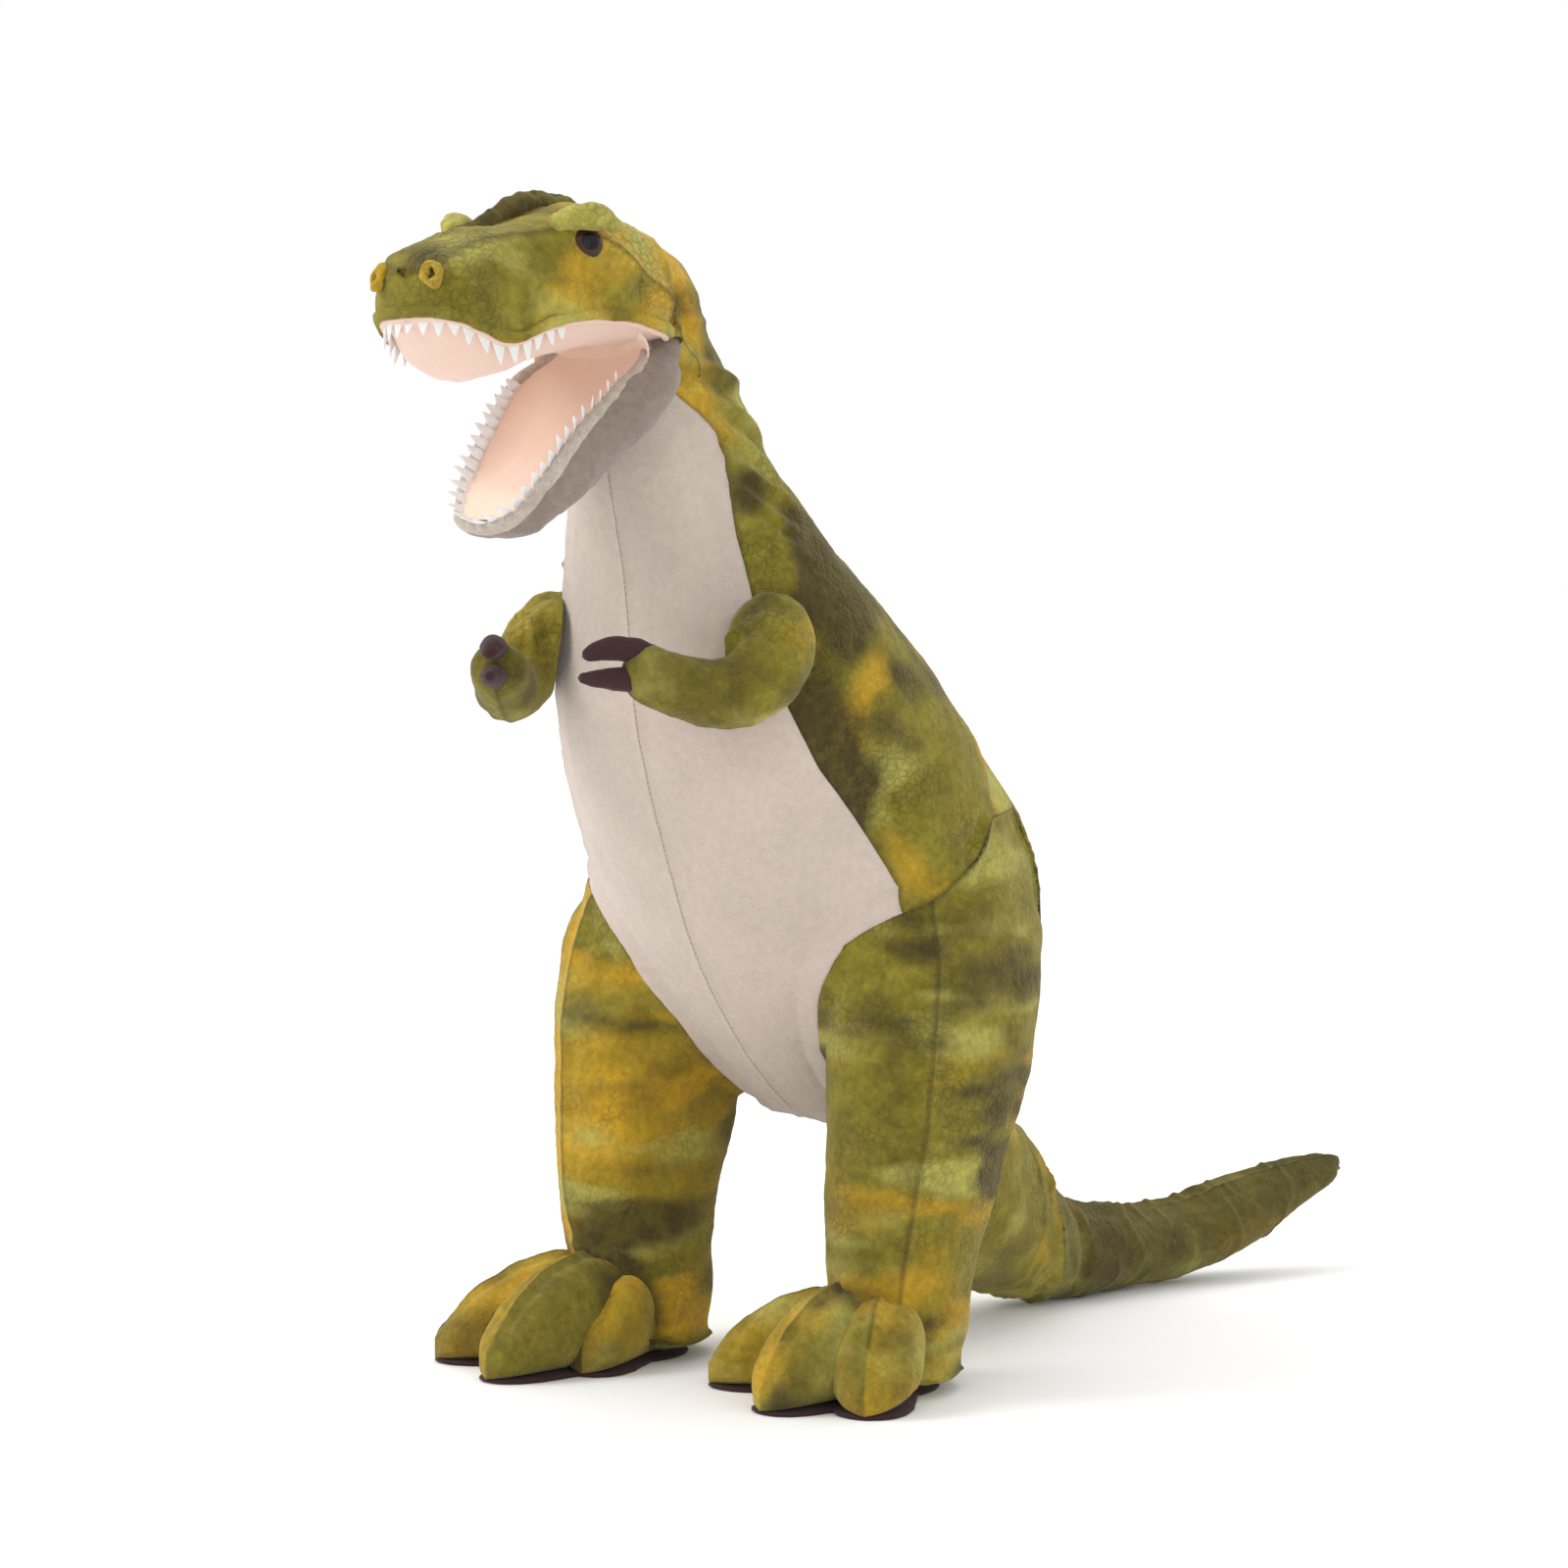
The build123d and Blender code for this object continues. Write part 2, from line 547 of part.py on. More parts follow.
arc = [(half - LOWER_TOOTH_INSET, along) for along, half in LOWER_ARC]
arc += [(-across, along) for across, along in reversed(arc)]
with BuildPart() as tooth_ribbon:
    with BuildSketch(jaw_plane.offset(-5)):
        with BuildLine() as ribbon_line:
            Spline(arc)
        trace(line_width=FELT)
    extrude(amount=40)
lower_side = Plane(origin=jaw_origin, x_dir=jaw_along, z_dir=(-1, 0, 0))
lower_line = [(24, 10), (30, 12), (56, 16), (78, 16.5), (LOWER_ARC[-1][0] + 2, 15)]
tooth_cut = tooth_prism(lower_side, lower_line, LOWER_TOOTH_PITCH, -LOWER_TOOTH, 100)
pieces["lower_teeth_strip"] = common(tooth_ribbon.part, tooth_cut)
for name in ("jaw_rim", "jaw_lining", "jaw_filling", "jaw_cover"):
    pieces[name] = cut(pieces[name], pieces["lower_teeth_strip"])

# ---------------------------------------------------------------- arms
for side_name, side in LEG_SIDES.items():
    arm_points = [(x * side, y + Y_SHIFT, z, a, b) for x, y, z, a, b in ARM]
    arm_form = tube_loft(arm_points)
    arm_core = tube_loft(arm_points, FABRIC)
    out = Vector(SHOULDER_OUT[0] * side, SHOULDER_OUT[1], SHOULDER_OUT[2]).normalized()
    seat = Plane(origin=Vector(SHOULDER[0] * side, SHOULDER[1], SHOULDER[2]) + out * SHOULDER_GAP,
                 z_dir=out)
    with BuildPart() as chest_side:
        with BuildSketch(seat):
            Circle(SHOULDER_CLEAR)
        extrude(amount=-120)
    pieces[f"arm_cover_{side_name}"] = cut(arm_form, arm_core, chest_side.part)
    pieces[f"arm_filling_{side_name}"] = cut(arm_core, chest_side.part)
    for claw_name, line in CLAWS.items():
        claw_points = [(x * side, y + Y_SHIFT, z, a, b) for x, y, z, a, b in line]
        pieces[f"claw_{claw_name}_{side_name}"] = cut(tube_loft(claw_points), arm_form)

for piece_name, piece in pieces.items():
    save(piece, piece_name)
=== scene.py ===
import json
import math

import bpy
import numpy as np
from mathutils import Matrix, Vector
from mathutils.bvhtree import BVHTree


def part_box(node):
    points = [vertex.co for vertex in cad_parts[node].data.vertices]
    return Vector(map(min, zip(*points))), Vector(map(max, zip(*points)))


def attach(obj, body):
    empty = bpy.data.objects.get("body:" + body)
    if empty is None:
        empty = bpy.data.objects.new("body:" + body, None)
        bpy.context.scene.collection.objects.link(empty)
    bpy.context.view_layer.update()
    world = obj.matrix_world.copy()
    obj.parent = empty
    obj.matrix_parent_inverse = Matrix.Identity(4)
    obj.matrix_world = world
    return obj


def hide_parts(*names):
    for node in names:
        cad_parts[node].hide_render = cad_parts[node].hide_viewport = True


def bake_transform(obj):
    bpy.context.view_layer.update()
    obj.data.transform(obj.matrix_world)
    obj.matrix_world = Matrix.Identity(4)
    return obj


# Sewn and stuffed dinosaur. Shapes are worked out in millimetres from the CAD nodes, about a
# point on the floor between the ankles, and written to Blender in metres in the CAD frame.
# The nose points to -Y, the animal's left is +X and the floor is at Z 0.

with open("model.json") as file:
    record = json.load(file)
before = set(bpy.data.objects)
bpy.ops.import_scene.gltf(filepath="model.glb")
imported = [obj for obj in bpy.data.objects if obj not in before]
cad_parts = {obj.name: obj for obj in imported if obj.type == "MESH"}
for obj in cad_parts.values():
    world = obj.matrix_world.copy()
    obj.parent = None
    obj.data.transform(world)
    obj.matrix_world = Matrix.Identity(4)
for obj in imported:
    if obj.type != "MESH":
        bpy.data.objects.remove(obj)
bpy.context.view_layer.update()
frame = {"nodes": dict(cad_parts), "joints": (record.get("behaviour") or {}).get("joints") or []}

MM = 0.001
joints = {j["name"]: j for j in frame["joints"]}
NECK_AHEAD = 24.0       # how far the neck joint lies in front of the ankles
CENTRE = np.array([joints["head_turn"]["pos_m"][0] * 1000,
                   joints["head_turn"]["pos_m"][1] * 1000 + NECK_AHEAD, 0.0])
SIDES = {"left": 1, "right": -1}
FAR = 600.0             # where the rays that measure the torso start
JUST_BESIDE = 0.5       # rays in the middle plane run this far off it, clear of the seam
CLOTH = 1.3             # thickness of the plush cloth
JAW_CLOTH = 1.0         # thickness of the cloth under the jaw
THIN_CLOTH = 0.8        # thickness of the arms' cloth and of the mouth's lining
FLOOR_AT = np.array([-1e4, -1e4, 0.0])      # the lowest place for a vertex: cloth lies on the floor
NO_SEAM = 20.0          # distance to the nearest seam that is given to cloth without one
SEAM_DEPTH = 1.5        # how far a sewn edge is drawn in
SEAM_WIDTH = 2.6        # how wide the rounding beside a seam is
rng = np.random.default_rng(7)


# ------------------------------------------------------------------ noise and small helpers
GRAIN = rng.normal(size=(64, 64, 64))


def noise(points, size, shift=0.0):
    """Smooth random values about zero for points in millimetres; size is the width of a patch."""
    cell = points / size + shift
    low = np.floor(cell).astype(int)
    part = cell - low
    part = part * part * (3 - 2 * part)
    total = np.zeros(points.shape[:-1])
    for corner in range(8):
        step = np.array([corner & 1, corner >> 1 & 1, corner >> 2 & 1])
        at = (low + step) % 64
        weight = np.prod(np.where(step, part, 1 - part), axis=-1)
        total += weight * GRAIN[at[..., 0], at[..., 1], at[..., 2]]
    return total


def layered_noise(points, size, layers=3, shift=0.0):
    """Noise with finer layers added on top."""
    total = 0
    for layer in range(layers):
        total = total + noise(points, size / 2 ** layer, shift + 11.3 * layer) / 1.8 ** layer
    return total


def bump_at(points, centre, radius):
    """One at the centre and fading out beyond the radius, which is one number or three."""
    away = (points - np.array(centre, float)) / np.array(radius, float)
    return np.exp(-np.sum(away ** 2, axis=-1))


def along_segment(points, start, end):
    """(distance to the segment, share of the way along it) for each point."""
    start, end = np.array(start, float), np.array(end, float)
    run = end - start
    share = np.clip((points - start) @ run / (run @ run), 0, 1)
    away = points - start - share[..., None] * run
    return np.linalg.norm(away, axis=-1), share


def fold(points, start, end, depth, width):
    """A fold in the cloth along a segment: a groove with a soft swelling on both sides."""
    away, share = along_segment(points, start, end)
    fade = np.sqrt(np.clip(np.sin(np.pi * np.clip(share, 0.02, 0.98)), 0, 1))
    groove = np.exp(-(away / width) ** 2) - 0.55 * np.exp(-((away - 2 * width) / (1.3 * width)) ** 2)
    return -depth * fade * groove


def smooth_min(a, b, soft):
    """The lower of two fields with a rounded meeting."""
    share = np.clip(0.5 + 0.5 * (b - a) / soft, 0, 1)
    return b + (a - b) * share - soft * share * (1 - share)


def smooth_step(value, low, high):
    """Zero below low and one above high, with a soft rise between."""
    share = np.clip((value - low) / (high - low), 0, 1)
    return share * share * (3 - 2 * share)


def unit(vectors):
    """Vectors scaled to length one."""
    return vectors / np.maximum(np.linalg.norm(vectors, axis=-1, keepdims=True), 1e-9)


def full_turn(count):
    """Angles once round, without the last one that would meet the first."""
    return np.linspace(0, 2 * math.pi, count, endpoint=False)


def lengths_along(line):
    """How far along a line each of its points is."""
    gaps = np.linalg.norm(np.diff(line[:, :3], axis=0), axis=1)
    return np.concatenate([[0], np.cumsum(gaps)])


def row_at(place, along, rows):
    """The row of numbers at a place along a line."""
    return np.array([np.interp(place, along, rows[:, k]) for k in range(3)])


def evened(rows, rounds):
    """Rows with every inner one drawn towards its neighbours, a few times over."""
    for _ in range(rounds):
        rows[1:-1] = (rows[:-2] + 2 * rows[1:-1] + rows[2:]) / 4
    return rows


# ------------------------------------------------------------------ measuring the CAD model
def node_points(*names):
    """All CAD vertices of these nodes."""
    found = []
    for name in names:
        vertices = frame["nodes"][name].data.vertices
        flat = np.empty(len(vertices) * 3)
        vertices.foreach_get("co", flat)
        found.append(flat.reshape(-1, 3) * 1000 - CENTRE)
    return np.concatenate(found)


def joint_place(name):
    """Where a joint is."""
    return np.array(joints[name]["pos_m"]) * 1000 - CENTRE


def metres(point):
    """A point in millimetres about the ankles, in metres in the CAD frame."""
    return tuple((np.array(point, float) + CENTRE) * MM)


def shape_of(*names):
    """The CAD surface of these nodes as one tree for casting rays."""
    points, faces = [], []
    for name in names:
        mesh = frame["nodes"][name].data
        base = len(points)
        points += [Vector(v.co) * 1000 - Vector(CENTRE) for v in mesh.vertices]
        faces += [[base + i for i in p.vertices] for p in mesh.polygons]
    return BVHTree.FromPolygons(points, faces)


def cast(tree, start, towards):
    """Where a ray from start first meets the tree, or None."""
    hit = tree.ray_cast(Vector(start), Vector(towards))[0]
    return np.array(hit) if hit is not None else None


class Stack:
    """A closed form made of ellipses on level planes (axis 2) or upright ones (axis 1)."""

    def __init__(self, axis, level, middle_x, middle, half_x, half, power=2.0):
        self.axis, self.other, self.power = axis, 3 - axis, power
        self.level = np.array(level, float)
        self.rows = [np.array(r, float) for r in (middle_x, middle, half_x, half)]

    def at(self, level):
        """(middle x, middle of the other axis, half x, half of the other axis) at a level."""
        return [np.interp(level, self.level, row) for row in self.rows]

    def __call__(self, points):
        level = points[..., self.axis]
        x, other, half_x, half = self.at(level)
        off_x = points[..., 0] - x
        off = points[..., self.other] - other
        ratio = (np.abs(off_x / half_x) ** self.power + np.abs(off / half) ** self.power)
        ratio = np.maximum(ratio, 1e-6) ** (1 / self.power)
        inside = np.hypot(off_x, off) * (1 - 1 / ratio)
        beyond = np.maximum(self.level[0] - level, level - self.level[-1])
        return np.where(beyond > 0, np.maximum(inside, 0) + beyond, inside)


def rounded_ends(stack, first=0.0, last=0.0):
    """The same stack with its first and last levels drawn in to a rounded end."""
    level, rows = stack.level, stack.rows
    for span, edge, inward in ((first, level[0], 1), (last, level[-1], -1)):
        if not span:
            continue
        share = np.clip((level - edge) * inward / span, 0, 1)
        shrink = np.sqrt(np.clip(1 - (1 - share) ** 2, 0.0004, 1))
        rows[2] = rows[2] * shrink
        rows[3] = rows[3] * shrink
    return stack


def torso_stack(tree, low, high, count):
    """The torso as level ellipses, fitted to its CAD surface by rays along Y and then X."""
    rows, levels = [], []
    for z in np.linspace(low, high, count):
        front = cast(tree, (JUST_BESIDE, -FAR, z), (0, 1, 0))
        back = cast(tree, (JUST_BESIDE, FAR, z), (0, -1, 0))
        if front is None or back is None:
            continue
        y = (front[1] + back[1]) / 2
        left = cast(tree, (FAR, y, z), (-1, 0, 0))
        right = cast(tree, (-FAR, y, z), (1, 0, 0))
        rows.append(((left[0] + right[0]) / 2, y, (left[0] - right[0]) / 2, (back[1] - front[1]) / 2))
        levels.append(z)
    return Stack(2, levels, *np.array(rows).T)


# ------------------------------------------------------------------ meshes from grids
class Patch:
    """A triangle mesh in millimetres with named values at its vertices."""

    def __init__(self, points, faces, values):
        self.points, self.faces, self.values = points, faces, values

    def clipped(self, field):
        """The part of the patch where field, one value per vertex, is above zero."""
        points, faces = self.points, self.faces
        inside = field > 0
        count = inside[faces].sum(axis=1)
        whole = faces[count == 3]
        new_points = [points]
        new_values = {k: [v] for k, v in self.values.items()}
        base = len(points)
        made = []
        for corners_in in (1, 2):
            group = faces[count == corners_in]
            if not len(group):
                continue
            lone = inside[group] if corners_in == 1 else ~inside[group]
            first = np.argmax(lone, axis=1)
            row = np.arange(len(group))
            tip, b, c = (group[row, (first + k) % 3] for k in range(3))
            ends = []
            for other in (b, c):
                share = field[tip] / (field[tip] - field[other])
                new_points.append(points[tip] + (points[other] - points[tip]) * share[:, None])
                for key, value in self.values.items():
                    part = share.reshape(-1, *[1] * (value.ndim - 1))
                    new_values[key].append(value[tip] + (value[other] - value[tip]) * part)
                ends.append(base + np.arange(len(group)))
                base += len(group)
            if corners_in == 1:
                made.append(np.stack([tip, ends[0], ends[1]], axis=1))
            else:
                made.append(np.stack([ends[0], b, c], axis=1))
                made.append(np.stack([ends[0], c, ends[1]], axis=1))
        faces = np.concatenate([whole] + made)
        values = {k: np.concatenate(v) for k, v in new_values.items()}
        return Patch(np.concatenate(new_points), faces, values).compacted()

    def compacted(self):
        """Without vertices that no face uses, and with doubled ones joined."""
        key = np.round(self.points, 4)
        _, first, same = np.unique(key, axis=0, return_index=True, return_inverse=True)
        faces = first[same.reshape(-1)][self.faces]
        keep = (faces[:, 0] != faces[:, 1]) & (faces[:, 1] != faces[:, 2]) & (faces[:, 0] != faces[:, 2])
        faces = faces[keep]
        used, faces = np.unique(faces, return_inverse=True)
        values = {k: v[used] for k, v in self.values.items()}
        return Patch(self.points[used], faces.reshape(-1, 3), values)


def grid_patch(points, values, closed=False):
    """A patch from a grid of points (rows, columns, 3); closed joins the last column to the first."""
    rows, columns = points.shape[:2]
    index = np.arange(rows * columns).reshape(rows, columns)
    if closed:
        index = np.concatenate([index, index[:, :1]], axis=1)
    a, b, c, d = index[:-1, :-1], index[:-1, 1:], index[1:, 1:], index[1:, :-1]
    faces = np.concatenate([np.stack([a, b, c], -1).reshape(-1, 3),
                            np.stack([a, c, d], -1).reshape(-1, 3)])
    flat = {}
    for key, value in values.items():
        whole = np.broadcast_to(value, (rows, columns, *value.shape[2:]))
        flat[key] = whole.reshape(rows * columns, *value.shape[2:])
    return Patch(points.reshape(-1, 3), faces, flat)


def detail(step, columns):
    return ((step, columns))


def grid_normals(points, closed=False):
    """Unit normals of a grid of points."""
    if closed:
        across = np.roll(points, -1, 1) - np.roll(points, 1, 1)
    else:
        across = np.gradient(points, axis=1)
    down = np.gradient(points, axis=0)
    return unit(np.cross(down, across))


def displaced(points, relief, closed=True):
    """A grid of points moved along its normals by relief."""
    return points + grid_normals(points, closed) * relief[..., None]


def seamless(grid, relief=None, closed=False):
    """A patch of cloth with no seam near, from a grid of points and its relief."""
    values = {"rest": grid, "edge": np.full(grid.shape[:-1], NO_SEAM)}
    if relief is not None:
        grid = displaced(grid, relief, closed)
    return grid_patch(grid, values, closed)


def merged(patches):
    """Many patches as one patch without seams."""
    starts = np.cumsum([0] + [len(p.points) for p in patches[:-1]])
    points = np.concatenate([p.points for p in patches])
    faces = np.concatenate([p.faces + start for p, start in zip(patches, starts)])
    return Patch(points, faces, {"rest": points, "edge": np.full(len(points), NO_SEAM)})


def mirrored(points):
    """The same places folded onto the animal's left."""
    return np.concatenate([np.abs(points[..., :1]), points[..., 1:]], axis=-1)


def on_side(patch, side_name, shift=0.0):
    """A patch made for the left, moved by shift and then mirrored if it is for the right."""
    patch.points = patch.points + shift
    if side_name == "right":
        patch.points = patch.points * np.array([-1, 1, 1])
        patch.faces = patch.faces[:, ::-1]
    return patch


def mesh_object(name, patch, material, thickness=0.0):
    """A Blender mesh object from a patch, smooth shaded, with its values as attributes."""
    mesh = bpy.data.meshes.new(name)
    rested = np.maximum(patch.points, FLOOR_AT)
    mesh.from_pydata(((rested + CENTRE) * MM).tolist(), [], patch.faces.tolist())
    for key, value in patch.values.items():
        kind = "FLOAT_VECTOR" if value.ndim == 2 else "FLOAT"
        attribute = mesh.attributes.new(key, kind, "POINT")
        attribute.data.foreach_set("vector" if value.ndim == 2 else "value",
                                   value.astype(np.float32).ravel())
    mesh.polygons.foreach_set("use_smooth", np.ones(len(mesh.polygons), bool))
    mesh.materials.append(material)
    mesh.update()
    piece = bpy.data.objects.new(name, mesh)
    bpy.context.scene.collection.objects.link(piece)
    if thickness:
        shell = piece.modifiers.new("cloth", "SOLIDIFY")
        shell.thickness = thickness * MM
        shell.offset = -1
    return piece


# ------------------------------------------------------------------ the stuffed form
TORSO_NODES = ["belly_panel_left", "belly_panel_right", "flank_panel_left", "flank_panel_right"]
HEAD_NODES = ["snout_panel", "crown_panel_left", "crown_panel_right", "cheek_panel_left",
              "cheek_panel_right", "upper_lip_band"]
torso_tree = shape_of(*TORSO_NODES)
head_tree = shape_of(*HEAD_NODES)
torso_low = min(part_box(n)[0].z for n in TORSO_NODES) * 1000
torso_top = max(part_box(n)[1].z for n in TORSO_NODES) * 1000
torso_form = torso_stack(torso_tree, torso_low + 3, torso_top - 1, 70)

neck_at = joint_place("head_turn")
mouth_at = joint_place("jaw_close")
tail_at = joint_place("tail_swing")
shoulder_at = joint_place("arm_left_swing")
shoulder_out = np.array(joints["arm_left_swing"]["axis"])

nose_y = node_points("upper_lip_band")[:, 1].min()
crown_top = max(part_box(n)[1].z for n in HEAD_NODES) * 1000

# Side view of the upper lip's edge as (y, z): it dips below the eye's front and rises at both ends.
LIP_LINE = np.array([(-174, 413.5), (-166, 413), (-160, 411.5), (-153, 408.5), (-147, 405),
                     (-140, 404.3), (-134, 406.3), (-125.5, 410), (-118, 412), (-107, 414.2),
                     (-98, 415), (-89, 415), (-80, 414), (-66, 411.5), (-54, 410)], float)


def lip_height(y):
    """Height of the upper lip's lower edge at these places along the head."""
    return np.interp(y, *LIP_LINE.T)


def head_stack():
    """The skull as upright sections, measured from the CAD head above the lip."""
    rows, levels = [], []
    for y in np.linspace(nose_y + 1.5, mouth_at[1] + 2, 40):
        lip = float(lip_height(y))
        top = cast(head_tree, (0.5, y, 600), (0, 0, -1))
        if top is None:
            continue
        side = cast(head_tree, (300, y, lip + 0.45 * (top[2] - lip)), (-1, 0, 0))
        if side is None:
            continue
        drop = 0.55 * (top[2] - lip)
        rows.append((0, (top[2] + lip - drop) / 2, side[0], (top[2] - lip + drop) / 2))
        levels.append(y)
    return Stack(1, levels, *np.array(rows).T, power=2.35)


skull_form = rounded_ends(head_stack(), first=9, last=10)


def nape_stack():
    """The back of the neck above the neck seam: level sections from CAD width and back."""
    rows, levels = [], []
    for z in np.linspace(neck_at[2] + 1, crown_top - 6, 26):
        back = cast(head_tree, (0.5, 600, z), (0, -1, 0))
        if back is None:
            continue
        share = (z - neck_at[2]) / (crown_top - neck_at[2])
        depth = 36 - 16 * share ** 1.6
        wide = cast(head_tree, (600, back[1] - depth, z), (-1, 0, 0))
        half = wide[0] if wide is not None else 30 * (1 - share)
        rows.append((0, back[1] - depth, half, depth))
        levels.append(z)
    return Stack(2, levels, *np.array(rows).T)


def joined(lower, upper):
    """Two stacks on the same axis as one, smoothed across the join."""
    level = np.concatenate([lower.level, upper.level])
    fine = np.linspace(level[0], level[-1], 140)
    rows = [evened(np.interp(fine, level, np.concatenate(pair)), 12)
            for pair in zip(lower.rows, upper.rows)]
    return Stack(lower.axis, fine, *rows)


trunk_form = rounded_ends(joined(torso_form, nape_stack()), first=14, last=16)


def leg_stack(side_name):
    """One leg from the sole to where it runs into the hip: an ellipse fitted at each level."""
    side = SIDES[side_name]
    nodes = [f"leg_outer_panel_{side_name}", f"leg_inner_panel_{side_name}"]
    tree = shape_of(*nodes)
    points = node_points(nodes[0])
    low, high = Vector(points.min(axis=0)), Vector(points.max(axis=0))
    middle = np.array([side * 65.0, (low.y + high.y) / 2])
    rows, levels = [], []
    for z in np.linspace(low.z + 1, high.z - 3, 46):
        hits = []
        for turn in full_turn(40):
            way = np.array([math.cos(turn), math.sin(turn)])
            hit = cast(tree, (*(middle + 300 * way), z), (*-way, 0))
            if hit is not None and torso_form(hit) > 1.5:
                hits.append(hit[:2] - middle)
        if len(hits) < 15:
            continue
        hits = np.array(hits)
        terms = np.column_stack([hits[:, 0] ** 2, hits[:, 1] ** 2, hits[:, 0], hits[:, 1]])
        p, q, u, v = np.linalg.lstsq(terms, np.ones(len(hits)), rcond=None)[0]
        if p <= 0 or q <= 0:
            continue
        size = 1 + u * u / (4 * p) + v * v / (4 * q)
        row = (middle[0] - u / (2 * p), middle[1] - v / (2 * q),
               math.sqrt(size / p), math.sqrt(size / q))
        if rows and abs(row[0] - rows[-1][0]) > 1.5:
            break
        rows.append(row)
        levels.append(z)
    foot_end, last = levels[-1], np.array(rows[-1])
    # Above the whole sections the leg goes on into the hip, leaning back and growing thinner.
    for share in np.linspace(0.12, 1, 9):
        shrink = math.sqrt(1 - 0.92 * share ** 2)
        rows.append((last[0] * (1 - 0.3 * share), last[1] + 16 * share, last[2] * shrink,
                     last[3] * shrink))
        levels.append(foot_end + (high.z + 16 - foot_end) * share)
    return Stack(2, levels, *np.array(rows).T)


legs = {name: rounded_ends(leg_stack(name), first=4, last=8) for name in SIDES}

TAIL_WHOLE = 48.0       # in front of this the torso cuts into the tail's CAD sections
# How the tail goes on into the torso, as changes from its first whole section:
# (along, middle x, middle z, half width, half height).
TAIL_ROOT = np.array([(-70, 0, 34, 8, 14), (-46, 0, 26, 9, 12), (-22, 0, 12, 5, 7)], float)


def tail_stack(*nodes):
    """The tail as upright sections along its length."""
    tree = shape_of(*nodes)
    points = node_points(*nodes)
    rows, levels = [], []
    for y in np.linspace(points[:, 1].min() + 1, points[:, 1].max() - 1, 60):
        ring = points[np.abs(points[:, 1] - y) < 7]
        if not len(ring):
            continue
        x = (ring[:, 0].min() + ring[:, 0].max()) / 2
        top = cast(tree, (x, y, 300), (0, 0, -1))
        bottom = cast(tree, (x, y, -50), (0, 0, 1))
        if top is None or bottom is None:
            continue
        z = (top[2] + bottom[2]) / 2
        left = cast(tree, (300, y, z), (-1, 0, 0))
        right = cast(tree, (-300, y, z), (1, 0, 0))
        if left is None or right is None:
            continue
        rows.append(((left[0] + right[0]) / 2, z, (left[0] - right[0]) / 2, (top[2] - bottom[2]) / 2))
        levels.append(y)
    rows, levels = np.array(rows), np.array(levels)
    whole = levels > tail_at[1] - TAIL_WHOLE
    rows, levels = rows[whole], levels[whole]
    root = np.array([rows[0] + np.array(more) for more in TAIL_ROOT[:, 1:]])
    return Stack(1, [*(levels[0] + TAIL_ROOT[:, 0]), *levels], *np.concatenate([root, rows]).T)


tail_form = rounded_ends(
    tail_stack("tail_base_cover", "tail_base_filling", "tail_side_left", "tail_side_right",
               "tail_filling"), first=24, last=12)

MEETING = 12.0          # how softly the stuffed forms run into each other
HEAD_MEETING = 13.0     # how softly the head runs into the neck


def swelling(a, b):
    """How far a form stands out where another one runs into it."""
    share = np.clip(0.5 + 0.5 * (b - a) / MEETING, 0, 1)
    return MEETING * share * (1 - share)


def trunk_body(points):
    """The torso, neck and head as one form."""
    return smooth_min(trunk_form(points), skull_form(points), HEAD_MEETING)


def nearest_leg(points):
    """The field of the nearer leg."""
    return np.minimum(legs["left"](points), legs["right"](points))


def trunk_surface(points):
    """The trunk with its soft rise towards the legs and the tail."""
    own = trunk_body(points)
    return own - swelling(own, tail_form(points)) - swelling(own, nearest_leg(points))


def tail_surface(points):
    """The tail with its soft rise towards the trunk and the legs."""
    own = tail_form(points)
    return own - swelling(own, trunk_body(points)) - swelling(own, nearest_leg(points))


HIP_OUTSIDE = (40, 58)  # distances from the middle between which the thigh runs on over the hip


def leg_surface(side_name):
    """One leg; on the outer side it runs on smoothly over the hip."""
    def field(points):
        own, trunk, tail = legs[side_name](points), trunk_body(points), tail_form(points)
        rise = swelling(own, trunk)
        alone = own - rise - swelling(own, tail)
        union = np.minimum(alone, trunk - rise - swelling(trunk, tail))
        share = smooth_step(np.abs(points[..., 0]), *HIP_OUTSIDE)
        return alone + share * (union - alone)
    return field


MARCH_STEPS = 40        # coarse steps along a ray
HALVINGS = 14           # halvings of the step in which the ray leaves the form


def surface_along(starts, directions, field, reach):
    """Where rays from inside a field first leave it."""
    low = np.zeros(starts.shape[:-1])
    high = np.full(low.shape, float(reach))
    found = np.zeros(low.shape, bool)
    for step in range(1, MARCH_STEPS + 1):
        at = reach * step / MARCH_STEPS
        outside = field(starts + directions * at) > 0
        fresh = outside & ~found
        high[fresh] = at
        low[fresh] = at - reach / MARCH_STEPS
        found |= outside
    for _ in range(HALVINGS):
        middle = (low + high) / 2
        outside = field(starts + directions * middle[..., None]) > 0
        high = np.where(outside, middle, high)
        low = np.where(outside, low, middle)
    return starts + directions * high[..., None]


